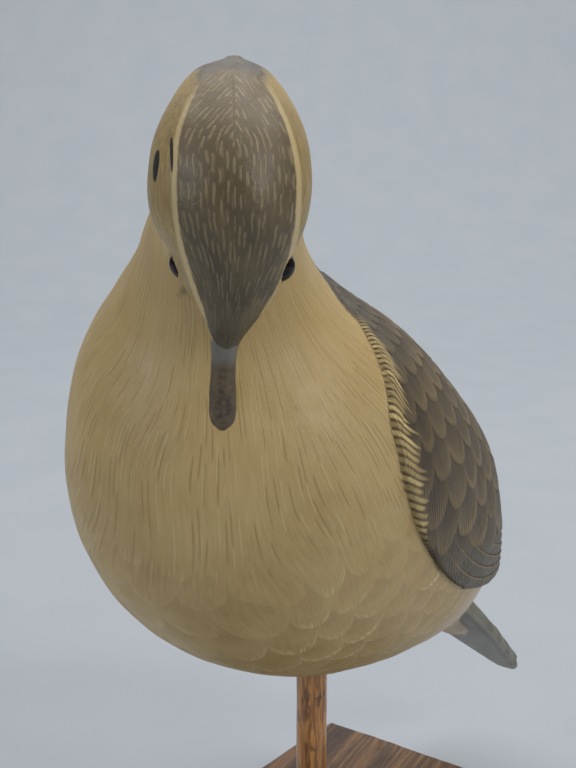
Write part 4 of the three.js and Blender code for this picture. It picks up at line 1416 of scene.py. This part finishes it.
def make_floor():
    """Pale sweep: flat under the object, rising far behind it."""
    width, run, rise, radius = 4.0, 1.9, 2.6, 0.9
    away = Vector((-math.sin(CAMERA_YAW), math.cos(CAMERA_YAW), 0))
    right = Vector((math.cos(CAMERA_YAW), math.sin(CAMERA_YAW), 0))
    profile = [(-2.4, 0.0), (0.0, 0.0), (run - radius, 0.0)]
    profile += [(run - radius + radius * math.sin(a), radius * (1 - math.cos(a)))
                for a in np.linspace(0, math.pi / 2, 16)[1:]]
    profile.append((run, rise))
    vertices = [away * d + right * side * width + Vector((0, 0, z))
                for d, z in profile for side in (-1, 1)]
    faces = [(2 * i, 2 * i + 1, 2 * i + 3, 2 * i + 2) for i in range(len(profile) - 1)]
    mesh = bpy.data.meshes.new("studio_floor")
    mesh.from_pydata(vertices, [], faces)
    mesh.polygons.foreach_set("use_smooth", np.ones(len(mesh.polygons), bool))
    floor = bpy.data.objects.new("studio_floor", mesh)
    bpy.context.scene.collection.objects.link(floor)
    paint = Paint("pale_paper", 0.85)
    soft = paint.noise(paint.place(), 0.02, 3.0)
    tone = paint.mix(ramp(soft, 0.3, 0.7, 0.0, 0.5), FLOOR, FLOOR_MOTTLE)
    give(floor, paint.finish(tone, 0.85, 0.02 * soft))


def make_light(name, place, target, size, power, colour=(1, 1, 1)):
    data = bpy.data.lights.new(name, "AREA")
    data.shape = "RECTANGLE"
    data.size, data.size_y = size
    data.energy = power
    data.color = colour
    lamp = bpy.data.objects.new(name, data)
    lamp.location = place
    lamp.rotation_euler = (Vector(target) - Vector(place)).to_track_quat("-Z", "Y").to_euler()
    lamp.visible_camera = False
    bpy.context.scene.collection.objects.link(lamp)


def make_lights():
    world = bpy.data.worlds.new("soft_room")
    world.use_nodes = True
    background = world.node_tree.nodes["Background"]
    background.inputs["Color"].default_value = (0.95, 0.97, 1.0, 1.0)
    background.inputs["Strength"].default_value = 0.12
    bpy.context.scene.world = world
    make_light("overhead", (-0.35, 0.75, 1.9), (-0.35, 0.75, 0.0), (3.0, 2.2), 44)
    make_light("window_left", (-0.62, -1.25, 0.82), (0, -0.05, 0.15), (0.42, 0.8), 6.5)
    make_light("window_right", (1.3, 0.0, 0.82), (0, -0.05, 0.15), (0.42, 0.8), 8, (1, 0.97, 0.93))


def make_camera():
    data = bpy.data.cameras.new("camera")
    data.lens = CAMERA_LENS
    camera = bpy.data.objects.new("camera", data)
    camera.location = [v * MM for v in CAMERA_AT]
    way = Vector((-math.sin(CAMERA_YAW) * math.cos(CAMERA_DOWN),
                  math.cos(CAMERA_YAW) * math.cos(CAMERA_DOWN), -math.sin(CAMERA_DOWN)))
    camera.rotation_euler = way.to_track_quat("-Z", "Y").to_euler()
    bpy.context.scene.collection.objects.link(camera)
    bpy.context.scene.camera = camera


dove = make_dove()
give(dove, make_dove_paint())
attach(dove, "root")
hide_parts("dove")
eye_paint = make_eye_paint()
for eye_name, eye_node, eye_sign in (("left_eye", "eye_left", 1), ("right_eye", "eye_right", -1)):
    give(make_eye(eye_name, eye_node, eye_sign), eye_paint)
give(make_post(), make_post_paint())
give(make_base(), make_base_paint())
make_floor()
make_lights()
make_camera()
bpy.context.scene.view_settings.view_transform = "Standard"
